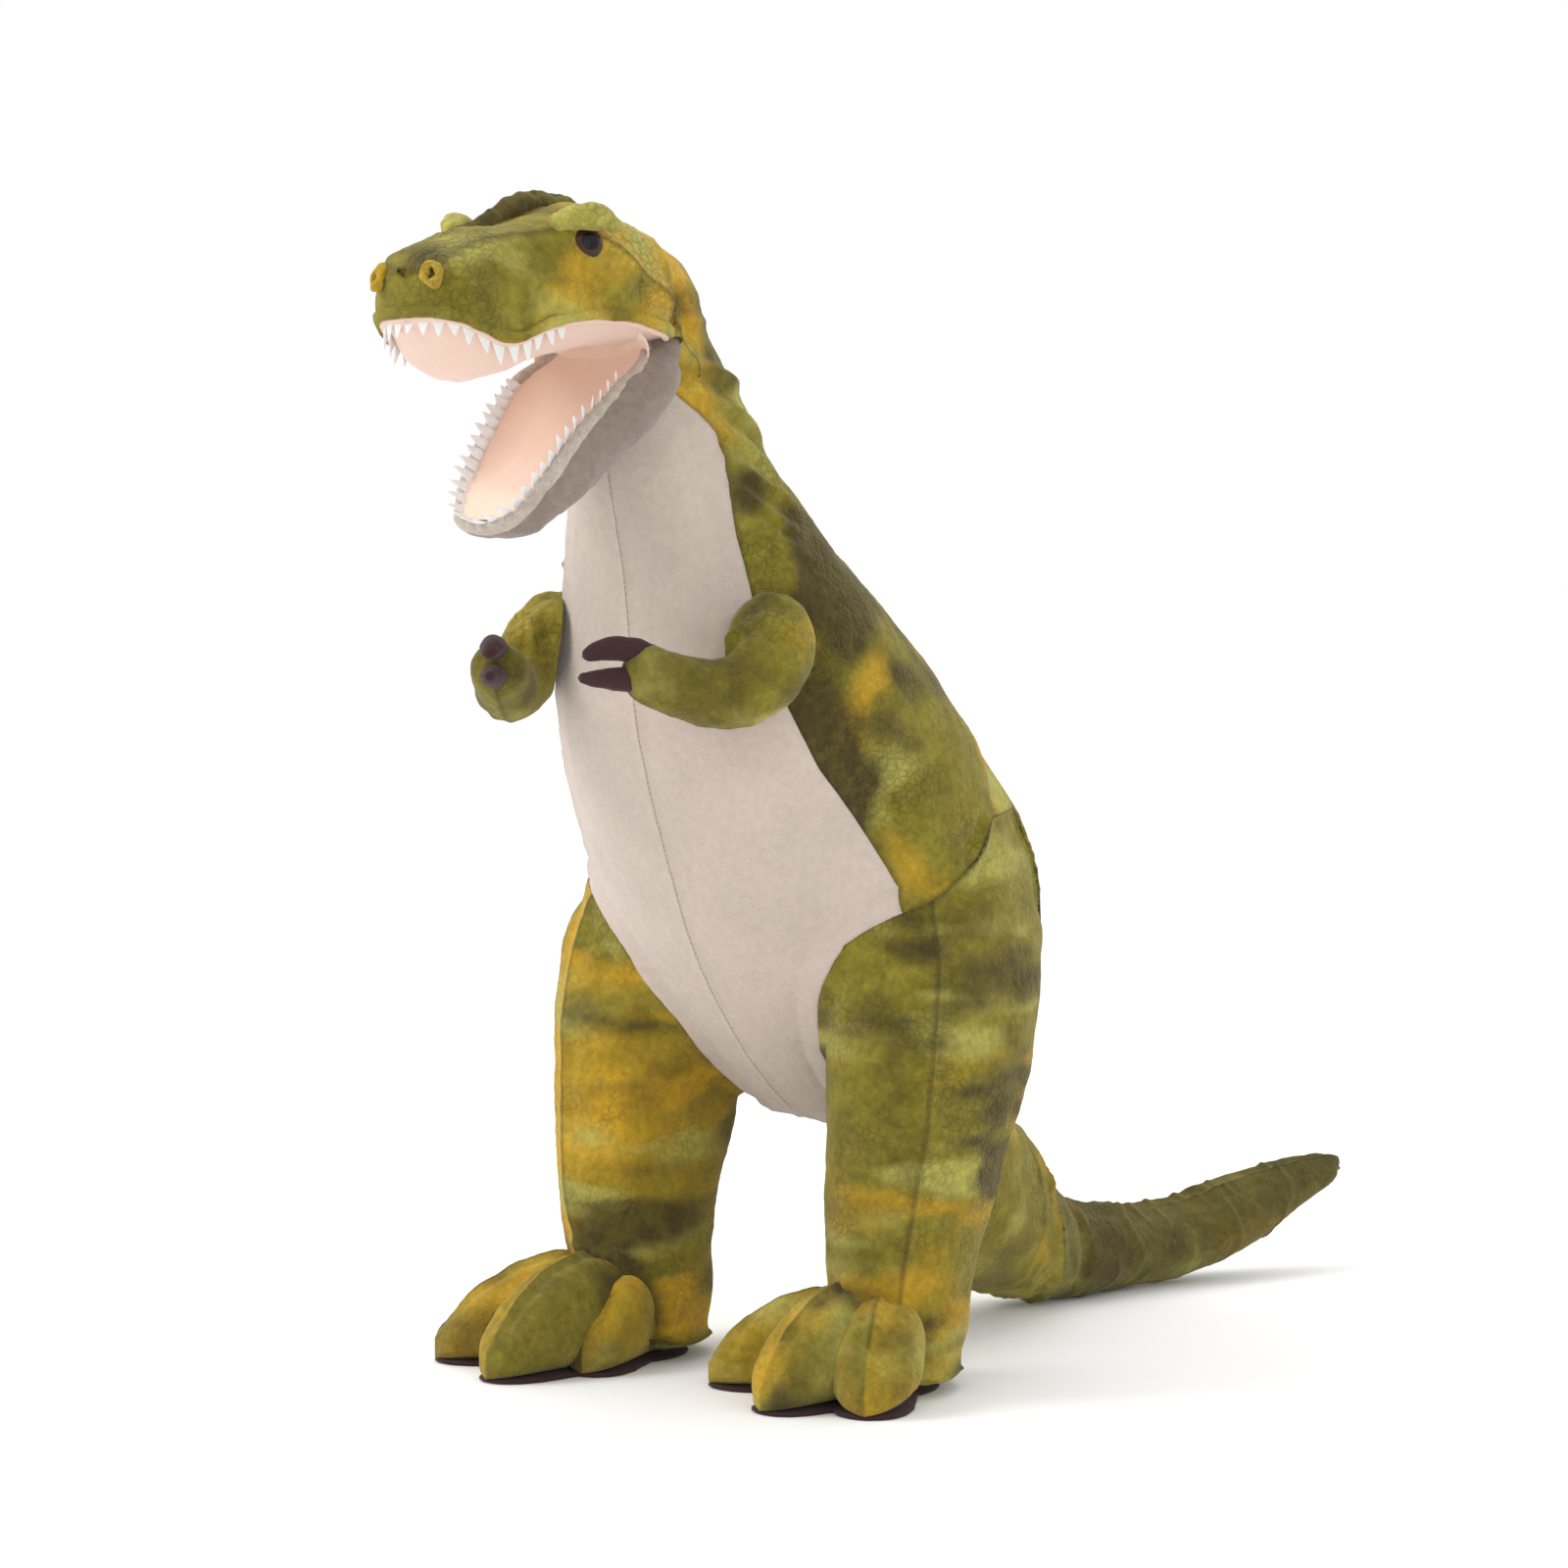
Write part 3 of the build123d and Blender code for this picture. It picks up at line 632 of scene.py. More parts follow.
# ------------------------------------------------------------------ grids of rays
def ring_rays(line, first, second, columns, close_start=0, close_end=0):
    """Rays fanning out in planes across a line, whose ends can close in a dome of some rows.

    The cross product of first and second points ahead along the line.
    """
    turn = full_turn(columns)[None, :, None]
    flat = np.cos(turn) * first[:, None, :] + np.sin(turn) * second[:, None, :]
    ahead = np.cross(first, second)
    starts = [np.broadcast_to(line[:, None, :], flat.shape)]
    directions = [flat]
    for rows, end, way in ((close_start, 0, -1), (close_end, -1, 1)):
        if not rows:
            continue
        lean = np.linspace(0, math.pi / 2, rows + 1)[1:, None, None]
        dome = np.cos(lean) * flat[end] + way * np.sin(lean) * ahead[end]
        origin = np.broadcast_to(line[end], dome.shape)
        if way < 0:
            starts.insert(0, origin[::-1])
            directions.insert(0, dome[::-1])
        else:
            starts.append(origin)
            directions.append(dome)
    return np.concatenate(starts), np.concatenate(directions)


def smooth_line(points, step, rounds=24):
    """A given line of points (or rows of any length) resampled evenly and smoothed."""
    points = np.array(points, float)
    along = lengths_along(points)
    fine = np.linspace(0, along[-1], max(int(along[-1] / step), 4))
    return evened(np.stack([np.interp(fine, along, column) for column in points.T], axis=1), rounds)


def line_rays(line, hint, columns, close_start=0, close_end=0):
    """Rays across a bent line, column 0 in the direction of hint."""
    ahead = unit(np.gradient(line, axis=0))
    hint = np.broadcast_to(np.array(hint, float), line.shape)
    first = unit(hint - np.sum(hint * ahead, axis=1, keepdims=True) * ahead)
    return ring_rays(line, first, np.cross(ahead, first), columns, close_start, close_end)


def tube_field(line, radii):
    """A field about a line with a changing radius: below zero inside."""
    def field(points):
        best = np.full(points.shape[:-1], 1e9)
        for start, end, r0, r1 in zip(line[:-1], line[1:], radii[:-1], radii[1:]):
            away, share = along_segment(points, start, end)
            best = np.minimum(best, away - r0 - (r1 - r0) * share)
        return best
    return field


# ------------------------------------------------------------------ the printed dye
# (place, size, gold, pale, dark): where the print of the green plush is clearly one colour.
DYE_SPOTS = [
    ((88, 54, 228), (22, 22, 24), 0.8, 0.2, -0.7), ((80, 18, 264), (18, 18, 18), -0.7, 0, 0.9),
    ((70, 4, 288), (18, 16, 14), 0.2, 0.2, 0.3), ((66, -14, 262), (13, 14, 26), -1, 0, 1.3),
    ((84, 34, 212), (16, 18, 12), 0.6, 0, 0.2), ((76, 6, 236), (10, 12, 14), -1, 0, 1.2),
    ((34, -46, 388), (13, 14, 13), 1.2, 0.2, -1), ((38, -30, 372), (10, 12, 10), 0.8, 0, 0),
    ((40, -40, 345), (12, 12, 20), -0.6, 0, 0.9), ((60, 10, 330), (24, 22, 28), -1, -0.6, 1.2),
    ((36, -62, 425), (10, 10, 14), -0.5, -0.3, 0.8), ((33, -118, 418), (9, 14, 10), 0.5, 0.6, -1),
    ((30, -134, 424), (8, 8, 10), -0.5, -0.2, 0.7), ((33, -112, 436), (7, 8, 8), 1.0, 0.4, -1),
    ((37, -84, 424), (12, 14, 14), -1.2, -0.4, 0.9),
    ((20, -150, 430), (12, 14, 10), 0.2, 0.5, -1), ((0, -168, 420), (16, 10, 9), 1.1, 0.3, -1),
    ((34, -76, 440), (8, 10, 10), -0.2, 0.9, -1), ((10, -110, 458), (16, 16, 8), -0.6, -0.5, 0.9),
    ((0, -30, 400), (14, 30, 60), -1, -0.4, 1.1), ((0, 60, 330), (20, 60, 60), -0.8, -0.3, 1.0),
]


def dye(points, bands=False, spots=DYE_SPOTS):
    """(gold, pale, dark) strength of the printed dye; bands lie across the legs."""
    size = np.array([90.0, 90.0, 24.0]) if bands else np.array([46.0, 50.0, 50.0])
    wave = points / size
    wobble = 0.25 * noise(points, 14.0, 5.0)
    gold = layered_noise(wave, 1.0, 3, 2.1) + wobble - 0.25
    pale = layered_noise(wave, 0.7, 3, 17.4) + wobble - 0.35
    dark = layered_noise(wave, 0.8, 3, 31.9) - wobble - 0.2
    folded = mirrored(points)
    for place, radius, more_gold, more_pale, more_dark in spots:
        near = bump_at(folded, place, radius)
        gold = gold + more_gold * near
        pale = pale + more_pale * near
        dark = dark + more_dark * near
    return {"gold": smooth_step(gold, -0.35, 1.25), "pale": smooth_step(pale, -0.3, 1.5),
            "dark": smooth_step(dark, -0.3, 1.3)}


# ------------------------------------------------------------------ trunk: torso, neck and head
def trunk_spine():
    """Stations from the crotch up the back and along the head: (y, z, tilt of the section)."""
    levels = np.linspace(torso_low + 14, neck_at[2] - 50, 12)
    stations = [(float(torso_form.at(z)[1]), z, 0.0) for z in levels]
    head_mid = (crown_top + lip_height(mouth_at[1] - 30)) / 2 + 2
    turn = [(0.0, -22, 2), (0.14, -6, 8), (0.40, 10, 26), (0.66, 26, 48), (0.92, 40, 72)]
    rise = head_mid - neck_at[2]
    for share, forward, tilt in turn:
        stations.append((neck_at[1] - forward, neck_at[2] + rise * share, tilt))
    for share, tilt in ((0.25, 84), (0.5, 90), (0.78, 94), (1.0, 97)):
        y = neck_at[1] - 48 + (nose_y + 11 - neck_at[1] + 48) * share
        z = (float(skull_form.at(y)[1]) + head_mid) / 2 if share > 0.3 else head_mid
        stations.append((y, z, tilt))
    return np.array(stations)


def trunk_grid(step, columns):
    """A closed grid round the trunk; column 0 runs up the middle of the belly."""
    rows = trunk_spine()
    rows = smooth_line(np.column_stack([0 * rows[:, 0], rows]), step, 60)
    tilt = np.radians(rows[:, 3])
    first = np.stack([0 * tilt, -np.cos(tilt), -np.sin(tilt)], axis=1)
    second = np.broadcast_to([1.0, 0.0, 0.0], first.shape)
    dome = int(14 / step)
    return surface_along(*ring_rays(rows[:, :3], first, second, columns, dome, dome),
                         trunk_surface, 150.0)


belly_points = node_points("belly_panel_left")
# Above the torso the belly panel goes on under the jaw, as (height above the torso, half width).
BELLY_TOP = np.array([(4, 33.5), (13, 29.0), (20, 20.0), (25, 4.0)])


def belly_half(z):
    """Half the width of the belly panel at these heights; it narrows under the jaw."""
    levels = np.linspace(torso_low + 4, torso_top - 4, 30)
    halves = [belly_points[np.abs(belly_points[:, 2] - level) < 8, 0].max() for level in levels]
    levels = np.concatenate([levels, torso_top + BELLY_TOP[:, 0]])
    halves = np.concatenate([halves, BELLY_TOP[:, 1]])
    return np.interp(z, levels, halves)


def belly_field(points):
    """Above zero on the belly side of the seam between belly and flank."""
    x, y, z = np.moveaxis(points, -1, 0)
    middle = trunk_form.at(z)[1]
    half = trunk_form.at(z)[3]
    across = belly_half(z) - np.abs(x)
    under_jaw = torso_top + BELLY_TOP[-1, 0] - z
    return np.where(y < middle + 0.1 * half, np.minimum(across, under_jaw), -20.0)


# Side view of the seam over the thigh as (y, z), and how far out the thigh cloth starts there.
HIP_SEAM = np.array([(-10, 150), (12, 176), (28, 190), (58, 209), (73, 230), (85, 241), (95, 237),
                     (103, 227), (109, 213), (115, 192), (121, 162), (128, 120)], float)
HIP_INNER = 60.0


def leg_field(points):
    """Above zero where a leg stands out of the trunk, and over the thigh below the hip seam."""
    standing = 0.7 * (np.minimum(trunk_body(points), tail_form(points)) - nearest_leg(points))
    x, y, z = np.moveaxis(points, -1, 0)
    below = 0.75 * (np.interp(y, *HIP_SEAM.T) - z)
    outside = np.abs(x) - HIP_INNER
    return -smooth_min(-standing, -np.minimum(np.minimum(below, outside), standing + 26), 3)


def tail_field(points):
    """Above zero where the tail stands out of the trunk."""
    return 0.7 * (trunk_body(points) - tail_form(points))


JAW_DROP = 52.0         # how far the lower jaw hangs below level, in degrees
JAW_SEAT = 3.0          # how far the green cloth reaches over the line where the jaw sets on


def lip_field(points):
    """Above zero over the upper lip, and behind the line where the jaw sets on."""
    y, z = points[..., 1], points[..., 2]
    over = z - lip_height(y)
    drop = math.radians(JAW_DROP)
    behind = (y - mouth_at[1]) * math.sin(drop) - (z - mouth_at[2]) * math.cos(drop) - JAW_SEAT
    return np.maximum(over, behind)


# Side view of the seam round the face as (y, z): along the snout, over the eye and down behind it.
FACE_SEAM = np.array([(-172, 423), (-160, 433), (-141, 440), (-122, 444), (-108, 446), (-90, 440),
                      (-79, 430), (-64, 424), (-52, 412), (-44, 395)], float)


def face_field(points):
    """Above zero on the sides of the face, below the seam that runs over the eye."""
    return 0.85 * (np.interp(points[..., 1], *FACE_SEAM.T) - points[..., 2])


def seam(distance, depth=SEAM_DEPTH, width=SEAM_WIDTH):
    """Relief of the cloth beside a seam: drawn in at the stitches and full next to them."""
    away = np.abs(distance) / width
    return -depth * np.exp(-away ** 1.3) + 0.3 * depth * np.exp(-((away - 2.4) / 1.2) ** 2)


def cloth_relief(points, lump=0.7):
    """Soft unevenness of stuffed cloth."""
    return (lump * layered_noise(points, 34.0, 3) + 0.35 * lump * noise(points, 9.0, 3.7)
            + 0.12 * noise(points, 2.4, 9.1))


# Creases of the cloth on both sides as (start, end, depth, width).
TRUNK_FOLDS = [
    ((34, -52, 402), (20, -6, 392), 2.2, 2.6), ((36, -48, 392), (28, -4, 374), 2.2, 2.6),
    ((35, -46, 382), (32, -2, 360), 2.1, 2.8), ((38, -42, 370), (36, 2, 346), 2.0, 2.8),
    ((40, -38, 360), (42, -4, 336), 1.5, 2.6), ((42, -34, 348), (46, -2, 326), 1.2, 2.6),
    ((39, -35, 320), (49, -10, 343), 1.6, 1.5), ((36, -58, 414), (22, -24, 418), 0.9, 2.4),
    ((30, -150, 432), (34, -118, 424), 0.7, 2.6), ((37, -74, 418), (38, -92, 412), 0.8, 2.2),
    ((86, 70, 226), (89, 56, 208), 1.3, 2.0), ((30, 176, 96), (44, 150, 128), 1.5, 4.0),
    ((20, 180, 84), (36, 150, 108), 1.4, 4.0),
]


def trunk_relief(points, on_belly):
    """Everything that shapes the trunk's cloth beyond the plain stuffed form."""
    total = cloth_relief(points) * np.where(on_belly, 0.55, 1.0)
    folded = mirrored(points)
    for start, end, depth, width in TRUNK_FOLDS:
        start, end = np.array([start, end]) * np.array([0, 1, 1])
        crease = fold(folded * np.array([0, 1, 1]), start, end, depth, width)
        total += np.where(on_belly, 0.2, 1.0) * smooth_step(folded[..., 0], 12, 26) * crease
    socket = bump_at(folded, eye_at, (9, 9, 9))
    tent = np.interp(points[..., 1], [-140, -125, -90, -66], [0, 2.4, 2.4, 0])
    tent = tent * np.exp(-(points[..., 0] / 9.0) ** 2) * smooth_step(points[..., 2], 430, 442)
    return total - 1.6 * socket + tent


def trunk_panels():
    """Belly, flank and face cloth, cut from one grid round the trunk."""
    step, columns = detail(1.25, 520)
    points = trunk_grid(step, columns)
    belly, leg, tail = belly_field(points), leg_field(points), tail_field(points)
    lip, face = lip_field(points), face_field(points)
    on_belly = belly > 0
    on_head = points[..., 1] < FACE_SEAM[-1, 0]
    on_nose = smooth_step(-points[..., 1], 146, 158) * ~on_belly
    centre = np.abs(points[..., 0]) + NO_SEAM * on_nose
    edge = np.minimum(np.abs(belly), np.minimum(np.abs(leg), np.abs(tail)))
    edge = np.where(on_head & ~on_belly, np.minimum(edge, np.abs(face)), edge)
    relief = trunk_relief(points, on_belly) + seam(edge)
    relief += np.where(on_belly, seam(centre, 0.55, 1.6), seam(centre, 0.9, 2.0))
    values = {"rest": points, "edge": np.minimum(edge, centre), "belly": belly, "leg": leg,
              "tail": tail, "lip": lip, "face": face, "side": points[..., 0], **dye(points)}
    whole = grid_patch(displaced(points, relief), values, closed=True)
    whole = whole.clipped(np.minimum(-whole.values["leg"], -whole.values["tail"]))
    whole = whole.clipped(whole.values["lip"])
    front = whole.clipped(whole.values["belly"])
    rest = whole.clipped(-whole.values["belly"])
    head = (rest.points[:, 1] < FACE_SEAM[-1, 0]) * 40.0 - 20.0
    face = rest.clipped(np.minimum(head, rest.values["face"]))
    back = rest.clipped(-np.minimum(head, rest.values["face"]))
    made = {}
    for side_name, side in SIDES.items():
        made[f"belly_cloth_{side_name}"] = front.clipped(side * front.values["side"])
        made[f"flank_cloth_{side_name}"] = back.clipped(side * back.values["side"])
        made[f"face_cloth_{side_name}"] = face.clipped(side * face.values["side"])
    return made


# ------------------------------------------------------------------ legs, toes and soles
# How far the front seam of each leg is turned outwards from straight ahead, in degrees.
LEG_SEAM = {"left": 37.0, "right": 10.0}
# Creases of the legs as (start, end, depth, width), placed on the left leg.
LEG_FOLDS = [
    ((50, 8, 44), (82, 12, 50), 1.2, 3.0), ((46, 12, 34), (84, 20, 36), 1.0, 2.8),
    ((86, 30, 60), (92, 62, 52), 0.8, 4.0), ((40, 30, 60), (44, 62, 50), 0.8, 4.0),
    ((60, 84, 40), (76, 84, 60), 1.0, 4.0), ((95, 40, 186), (92, 78, 200), 0.9, 5.0),
]


LEG_REST_Y = 54.0       # middle of the left leg at the height where its folds were placed
LEG_REST_Z = 100.0      # that height
FRONT_FLARE = 8.0       # how far the front of the leg swells out over the toes
HEEL_BULGE = 2.6        # how far the cloth stands out above the sole
LEG_CLEAR = 1.2         # height to which the lowest part of the leg's cloth is drawn down


def leg_seam_field(points, side_name):
    """Above zero on the outer panel of a leg."""
    form, side = legs[side_name], SIDES[side_name]
    x, y = form.at(points[..., 2])[:2]
    turn = math.radians(LEG_SEAM[side_name])
    return ((points[..., 0] - x) * side * math.cos(turn) + (points[..., 1] - y) * math.sin(turn))


def leg_panels(side_name):
    """The outer and inner cloth of one leg, up to the seam round the hip."""
    step, columns = detail(1.2, 260)
    form, side = legs[side_name], SIDES[side_name]
    levels = np.arange(form.level[0] + 0.9, HIP_SEAM[:, 1].max() + 6, step)
    x, y = form.at(levels)[:2]
    line = np.column_stack([x, y, levels])
    first = np.broadcast_to([0.0, -1.0, 0.0], line.shape)
    second = np.broadcast_to([1.0, 0.0, 0.0], line.shape)
    points = surface_along(*ring_rays(line, first, second, columns, 4),
                           leg_surface(side_name), 75.0)
    leg, outer = leg_field(points), leg_seam_field(points, side_name)
    edge = np.minimum(np.abs(leg), np.abs(outer))
    folded = mirrored(points)
    folded[..., 1] -= float(form.at(LEG_REST_Z)[1]) - LEG_REST_Y
    relief = cloth_relief(points + side * 40, 0.65) + seam(edge)
    height = points[..., 2]
    ahead = np.clip((form.at(height)[1] - points[..., 1]) / 30, 0, 1)
    relief += FRONT_FLARE * smooth_step(60 - height, 0, 52) * ahead ** 1.5
    relief += HEEL_BULGE * np.exp(-((height - 14) / 8) ** 2) * smooth_step(height, 4.5, 10)
    for start, end, depth, width in LEG_FOLDS:
        relief += fold(folded, start, end, depth, width)
    colours = dye(points + np.array([0, 0, 300.0 + 57 * side]), bands=True, spots=[])
    # The right leg has a gold stripe along its front seam; the left one is darker low on its inside, as
    # painted shade.
    if side < 0:
        stripe = np.exp(-((outer - 6) / 7) ** 2) * (points[..., 1] < y.mean())
        colours["gold"] = np.maximum(colours["gold"], 0.9 * stripe * (outer > 0))
        warm = bump_at(points, (-62, 10, 104), (50, 70, 38))
        colours["gold"] = np.clip(colours["gold"] + 0.75 * warm, 0, 1)
        colours["dark"] = colours["dark"] * (1 - stripe) * (1 - 0.6 * warm)
    else:
        # Painted shade on the inner panel of the left leg, growing towards the foot.
        shaded = (outer < 0) * smooth_step(150 - height, 0, 60)
        colours["dark"] = np.clip(colours["dark"] + 0.3 * shaded, 0, 1)
    values = {"rest": points, "edge": edge, "leg": leg, "outer": outer, **colours}
    cloth = displaced(points, relief)
    cloth[..., 2] -= (form.level[0] - LEG_CLEAR) * smooth_step(26 - height, 0, 20)
    whole = grid_patch(cloth, values, closed=True)
    own = whole.values["leg"] * np.where(side * whole.points[:, 0] > 2, 1, -1)
    whole = whole.clipped(own)
    return {f"leg_outer_cloth_{side_name}": whole.clipped(whole.values["outer"]),
            f"leg_inner_cloth_{side_name}": whole.clipped(-whole.values["outer"])}


# A toe as (share of the way to its tip, half width, half height), both over its half size.
TOE_SHAPE = np.array([(0.0, 0.85, 1.1), (0.2, 0.92, 1.2), (0.42, 1.02, 1.26), (0.62, 1.06, 1.12),
                      (0.8, 0.92, 0.84), (0.92, 0.66, 0.56), (0.98, 0.36, 0.36), (1.0, 0.04, 0.24)])
TOES = ("inner", "middle", "outer")
ANKLE = 10.0            # height at which the foot's middle is taken


def toe_axis(toe, side_name):
    """A toe's (root, tip, direction across it, half width, underside) from its CAD solid."""
    points = node_points(f"toe_{toe}_{side_name}")
    root = np.array([*legs[side_name].at(ANKLE)[:2], 0.0])
    away = np.linalg.norm((points - root)[:, :2], axis=1)
    tip = points[np.argmax(away)] * np.array([1, 1, 0])
    ahead = unit(tip - root)
    across = np.cross(ahead, [0, 0, 1.0])
    floor = points[:, 2].min()
    beyond = (points - root) @ ahead > 0.5 * np.linalg.norm(tip - root)
    return root, tip, across, np.abs((points[beyond] - root) @ across).max(), floor


def toe_cloth(toe, side_name):
    """One stuffed toe with a ridge seam along its top, in two halves."""
    root, tip, across, half, floor = toe_axis(toe, side_name)
    steps, columns = ((120, 150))
    share = 1 - (1 - np.linspace(0.02, 1, steps)) ** 1.35
    share[-1] = 1.0
    wide, high = (evened(np.interp(share, TOE_SHAPE[:, 0], TOE_SHAPE[:, k]), 6) for k in (1, 2))
    turn = full_turn(columns)
    side_way = np.sign(np.sin(turn)) * np.abs(np.sin(turn)) ** 0.85
    rise = np.cos(turn)
    rise = np.where(rise > 0, rise, -np.abs(rise) ** 0.6)
    grid = (root + (tip - root) * share[:, None, None]
            + across * (half * wide[:, None] * side_way[None, :])[..., None]
            + np.array([0, 0, 1.0]) * (floor + half * high[:, None] * (1 + rise[None, :]))[..., None])
    ridge = (grid - root) @ across
    top = rise[None, :] > 0
    grid = np.concatenate([grid, np.broadcast_to(grid[-1:].mean(axis=1, keepdims=True), grid[-1:].shape)])
    ridge = np.concatenate([ridge, 0 * ridge[-1:]])
    share = np.append(share, 1.0)
    at_tip = 1 - smooth_step(share, 0.84, 0.97)[:, None]
    relief = cloth_relief(grid + 70 * len(toe), 0.45)
    beside = 0.7 * np.exp(-((np.abs(ridge) - 4) / 2.4) ** 2)
    relief += np.where(top, seam(ridge, 1.1, 2.0) + beside, 0) * at_tip
    relief *= smooth_step(share, 0, 0.1)[:, None] * (share[:, None] < 0.995)
    relief = np.where(rise[None, :] < -0.6, 0, relief)
    colours = dye(grid + 31 * len(toe) + (9 if side_name == "left" else 0), bands=False, spots=[])
    two_tone = smooth_step(ridge * (1 if toe == "middle" else -1), -0.6, 0.6)
    colours["dark"] = np.clip(0.25 + 0.75 * colours["dark"] - 0.45 * two_tone, 0, 1)
    colours["gold"] = np.clip(0.8 * colours["gold"] + 0.4 * two_tone, 0, 1)
    edge = np.where(top, np.abs(ridge) + NO_SEAM * (1 - at_tip), NO_SEAM)
    values = {"rest": grid, "edge": edge, **colours}
    return grid_patch(displaced(grid, relief), values, closed=True)


SOLE_INSET = 11.0       # how far the sole is drawn in under the leg


def sole_cloth(side_name):
    """The dark suede sole under one foot, drawn in under the leg and the toes."""
    points = node_points(f"foot_sole_{side_name}")
    x, y = legs[side_name].at(ANKLE)[:2]
    centre = np.array([x, y - 12, points[:, 2].mean()])
    top, bottom = points[:, 2].max(), points[:, 2].min()
    turn = full_turn(360)
    ways = np.stack([np.sin(turn), -np.cos(turn), 0 * turn], axis=1)
    reach = np.arange(4, 130, 0.5)
    places = centre + ways[:, None] * reach[None, :, None]
    covered = legs[side_name](places * np.array([1, 1, 0]) + np.array([0, 0, 9.0])) < -SOLE_INSET
    for toe in TOES:
        root, tip, across, half, _ = toe_axis(toe, side_name)
        run = (places - root) @ (tip - root) / ((tip - root) @ (tip - root))
        wide = half * np.interp(run, TOE_SHAPE[:, 0], TOE_SHAPE[:, 1], right=0.0)
        inset = np.interp(run, [0.5, 0.9], [3.0, 0.2])
        covered |= (run > 0) & (np.abs((places - root) @ across) < wide - inset)
    kept = reach[np.argmin(covered, axis=1)]
    for _ in range(3):
        kept = (np.roll(kept, 1) + 2 * kept + np.roll(kept, -1)) / 4
    outline = centre + ways * kept[:, None]
    rows = []
    for share, height in ((0.0, top), (0.5, top), (0.97, top), (1.0, (top + bottom) / 2),
                          (0.97, bottom), (0.5, bottom), (0.0, bottom)):
        ring = centre + (outline - centre) * share
        ring[:, 2] = height
        rows.append(ring)
    grid = np.array(rows)
    return seamless(grid[::-1], closed=True)


# ------------------------------------------------------------------ tail
CREASE_AHEAD = 17.0     # how far in front of the tail joint the crease of the cloth runs
# Wrinkles across the tail, as distances behind the tail joint: thin ones behind the crease and
# soft ones in front of it.
TAIL_WRINKLES = np.arange(10, 130, 11.0)
BASE_WRINKLES = (-12, -20, -30, -43)
# Half the width of the dark ridge, as (distance behind the tail joint, half width).
TAIL_RIDGE = np.array([(-12, 6.5), (60, 4.5), (150, 2.6)])


def tail_grid(step, columns):
    """A closed grid round the tail; column 0 runs along its top."""
    level = np.linspace(tail_form.level[0] + 12, tail_form.level[-1] - 9, 60)
    x, z = tail_form.at(level)[:2]
    line = smooth_line(np.column_stack([x, level, z]), step, 30)
    start_hint = np.array([0, 0.75, 0.65])
    lean = np.clip((line[:, 1:2] - line[0, 1]) / 60, 0, 1)
    hint = start_hint * (1 - lean) + np.array([0, 0, 1.0]) * lean
    rays = line_rays(line, hint, columns, int(16 / step), int(9 / step))
    return surface_along(*rays, tail_surface, 90.0)


def tail_panels():
    """The tail's base, its two sides behind the crease and the dark ridge along its top."""
    step, columns = detail(1.1, 240)
    points = tail_grid(step, columns)
    tail = tail_field(points)
    leg = leg_field(points)
    crease = 0.96 * (points[..., 1] - tail_at[1] + CREASE_AHEAD) + 0.27 * (points[..., 2] - tail_at[2])
    columns_at = full_turn(columns)
    radius = tail_form.at(points[..., 1])[2]
    ridge = np.minimum(columns_at, 2 * math.pi - columns_at)[None, :] * radius
    dark_ridge = np.interp(points[..., 1], tail_at[1] + TAIL_RIDGE[:, 0], TAIL_RIDGE[:, 1]) - ridge
    behind = crease > 0
    edge = np.minimum(np.abs(tail), np.abs(crease))
    edge = np.where(behind, np.minimum(edge, np.abs(dark_ridge)), edge)
    under = np.abs(columns_at - math.pi)[None, :] * radius
    wrinkle = np.zeros(points.shape[:-1])
    for place in TAIL_WRINKLES:
        wobble = 5 * noise(points, 16.0, place)
        off = points[..., 1] - tail_at[1] - place + wobble
        here = smooth_step(noise(points, 18.0, 3 * place), -0.5, 0.6)
        wrinkle -= np.exp(-(off / 1.9) ** 2) * here
    relief = cloth_relief(points, 0.6) + seam(edge) + seam(under, 0.7, 1.8)
    relief += np.where(behind, wrinkle + 0.9 * smooth_step(dark_ridge, 0, 2.5), 0)
    for place in BASE_WRINKLES:
        wobble = 6 * noise(points, 20.0, place)
        relief -= 0.9 * np.exp(-((points[..., 1] - tail_at[1] - place + wobble) / 2.4) ** 2) * ~behind
    colours = dye(points + np.array([0, 0, 500.0]), spots=[])
    colours["dark"] = np.where(behind, 0.6 + 0.4 * colours["dark"], 0.5 * colours["dark"])
    colours["gold"] = np.where(behind, 0.3, 1.0) * colours["gold"]
    values = {"rest": points, "edge": edge, "tail": tail, "crease": crease, "leg": leg,
              "ridge": dark_ridge, "side": points[..., 0] - tail_form.at(points[..., 1])[0],
              **colours}
    whole = grid_patch(displaced(points, relief), values, closed=True)
    whole = whole.clipped(np.minimum(whole.values["tail"], -whole.values["leg"]))
    base = whole.clipped(-whole.values["crease"])
    rear = whole.clipped(whole.values["crease"])
    top = rear.clipped(rear.values["ridge"])
    sides = rear.clipped(-rear.values["ridge"])
    return {"tail_base_cloth": base, "tail_ridge_cloth": top,
            "tail_cloth_left": sides.clipped(sides.values["side"]),
            "tail_cloth_right": sides.clipped(-sides.values["side"])}


# ------------------------------------------------------------------ arms and claws
# The left arm from the shoulder seam to the hand as (x, y, z, radius) about the shoulder joint.
ARM_LINE = [(-5, 7, 3, 14), (3.5, -1.5, 0.5, 16.6), (8.5, -8.5, -8.5, 16.3), (6.5, -18.5, -18.5, 14.3),
            (-0.5, -31.5, -21.5, 12.4), (-9.5, -44.5, -17.0, 11.2), (-15.5, -53.5, -12.0, 10.6)]
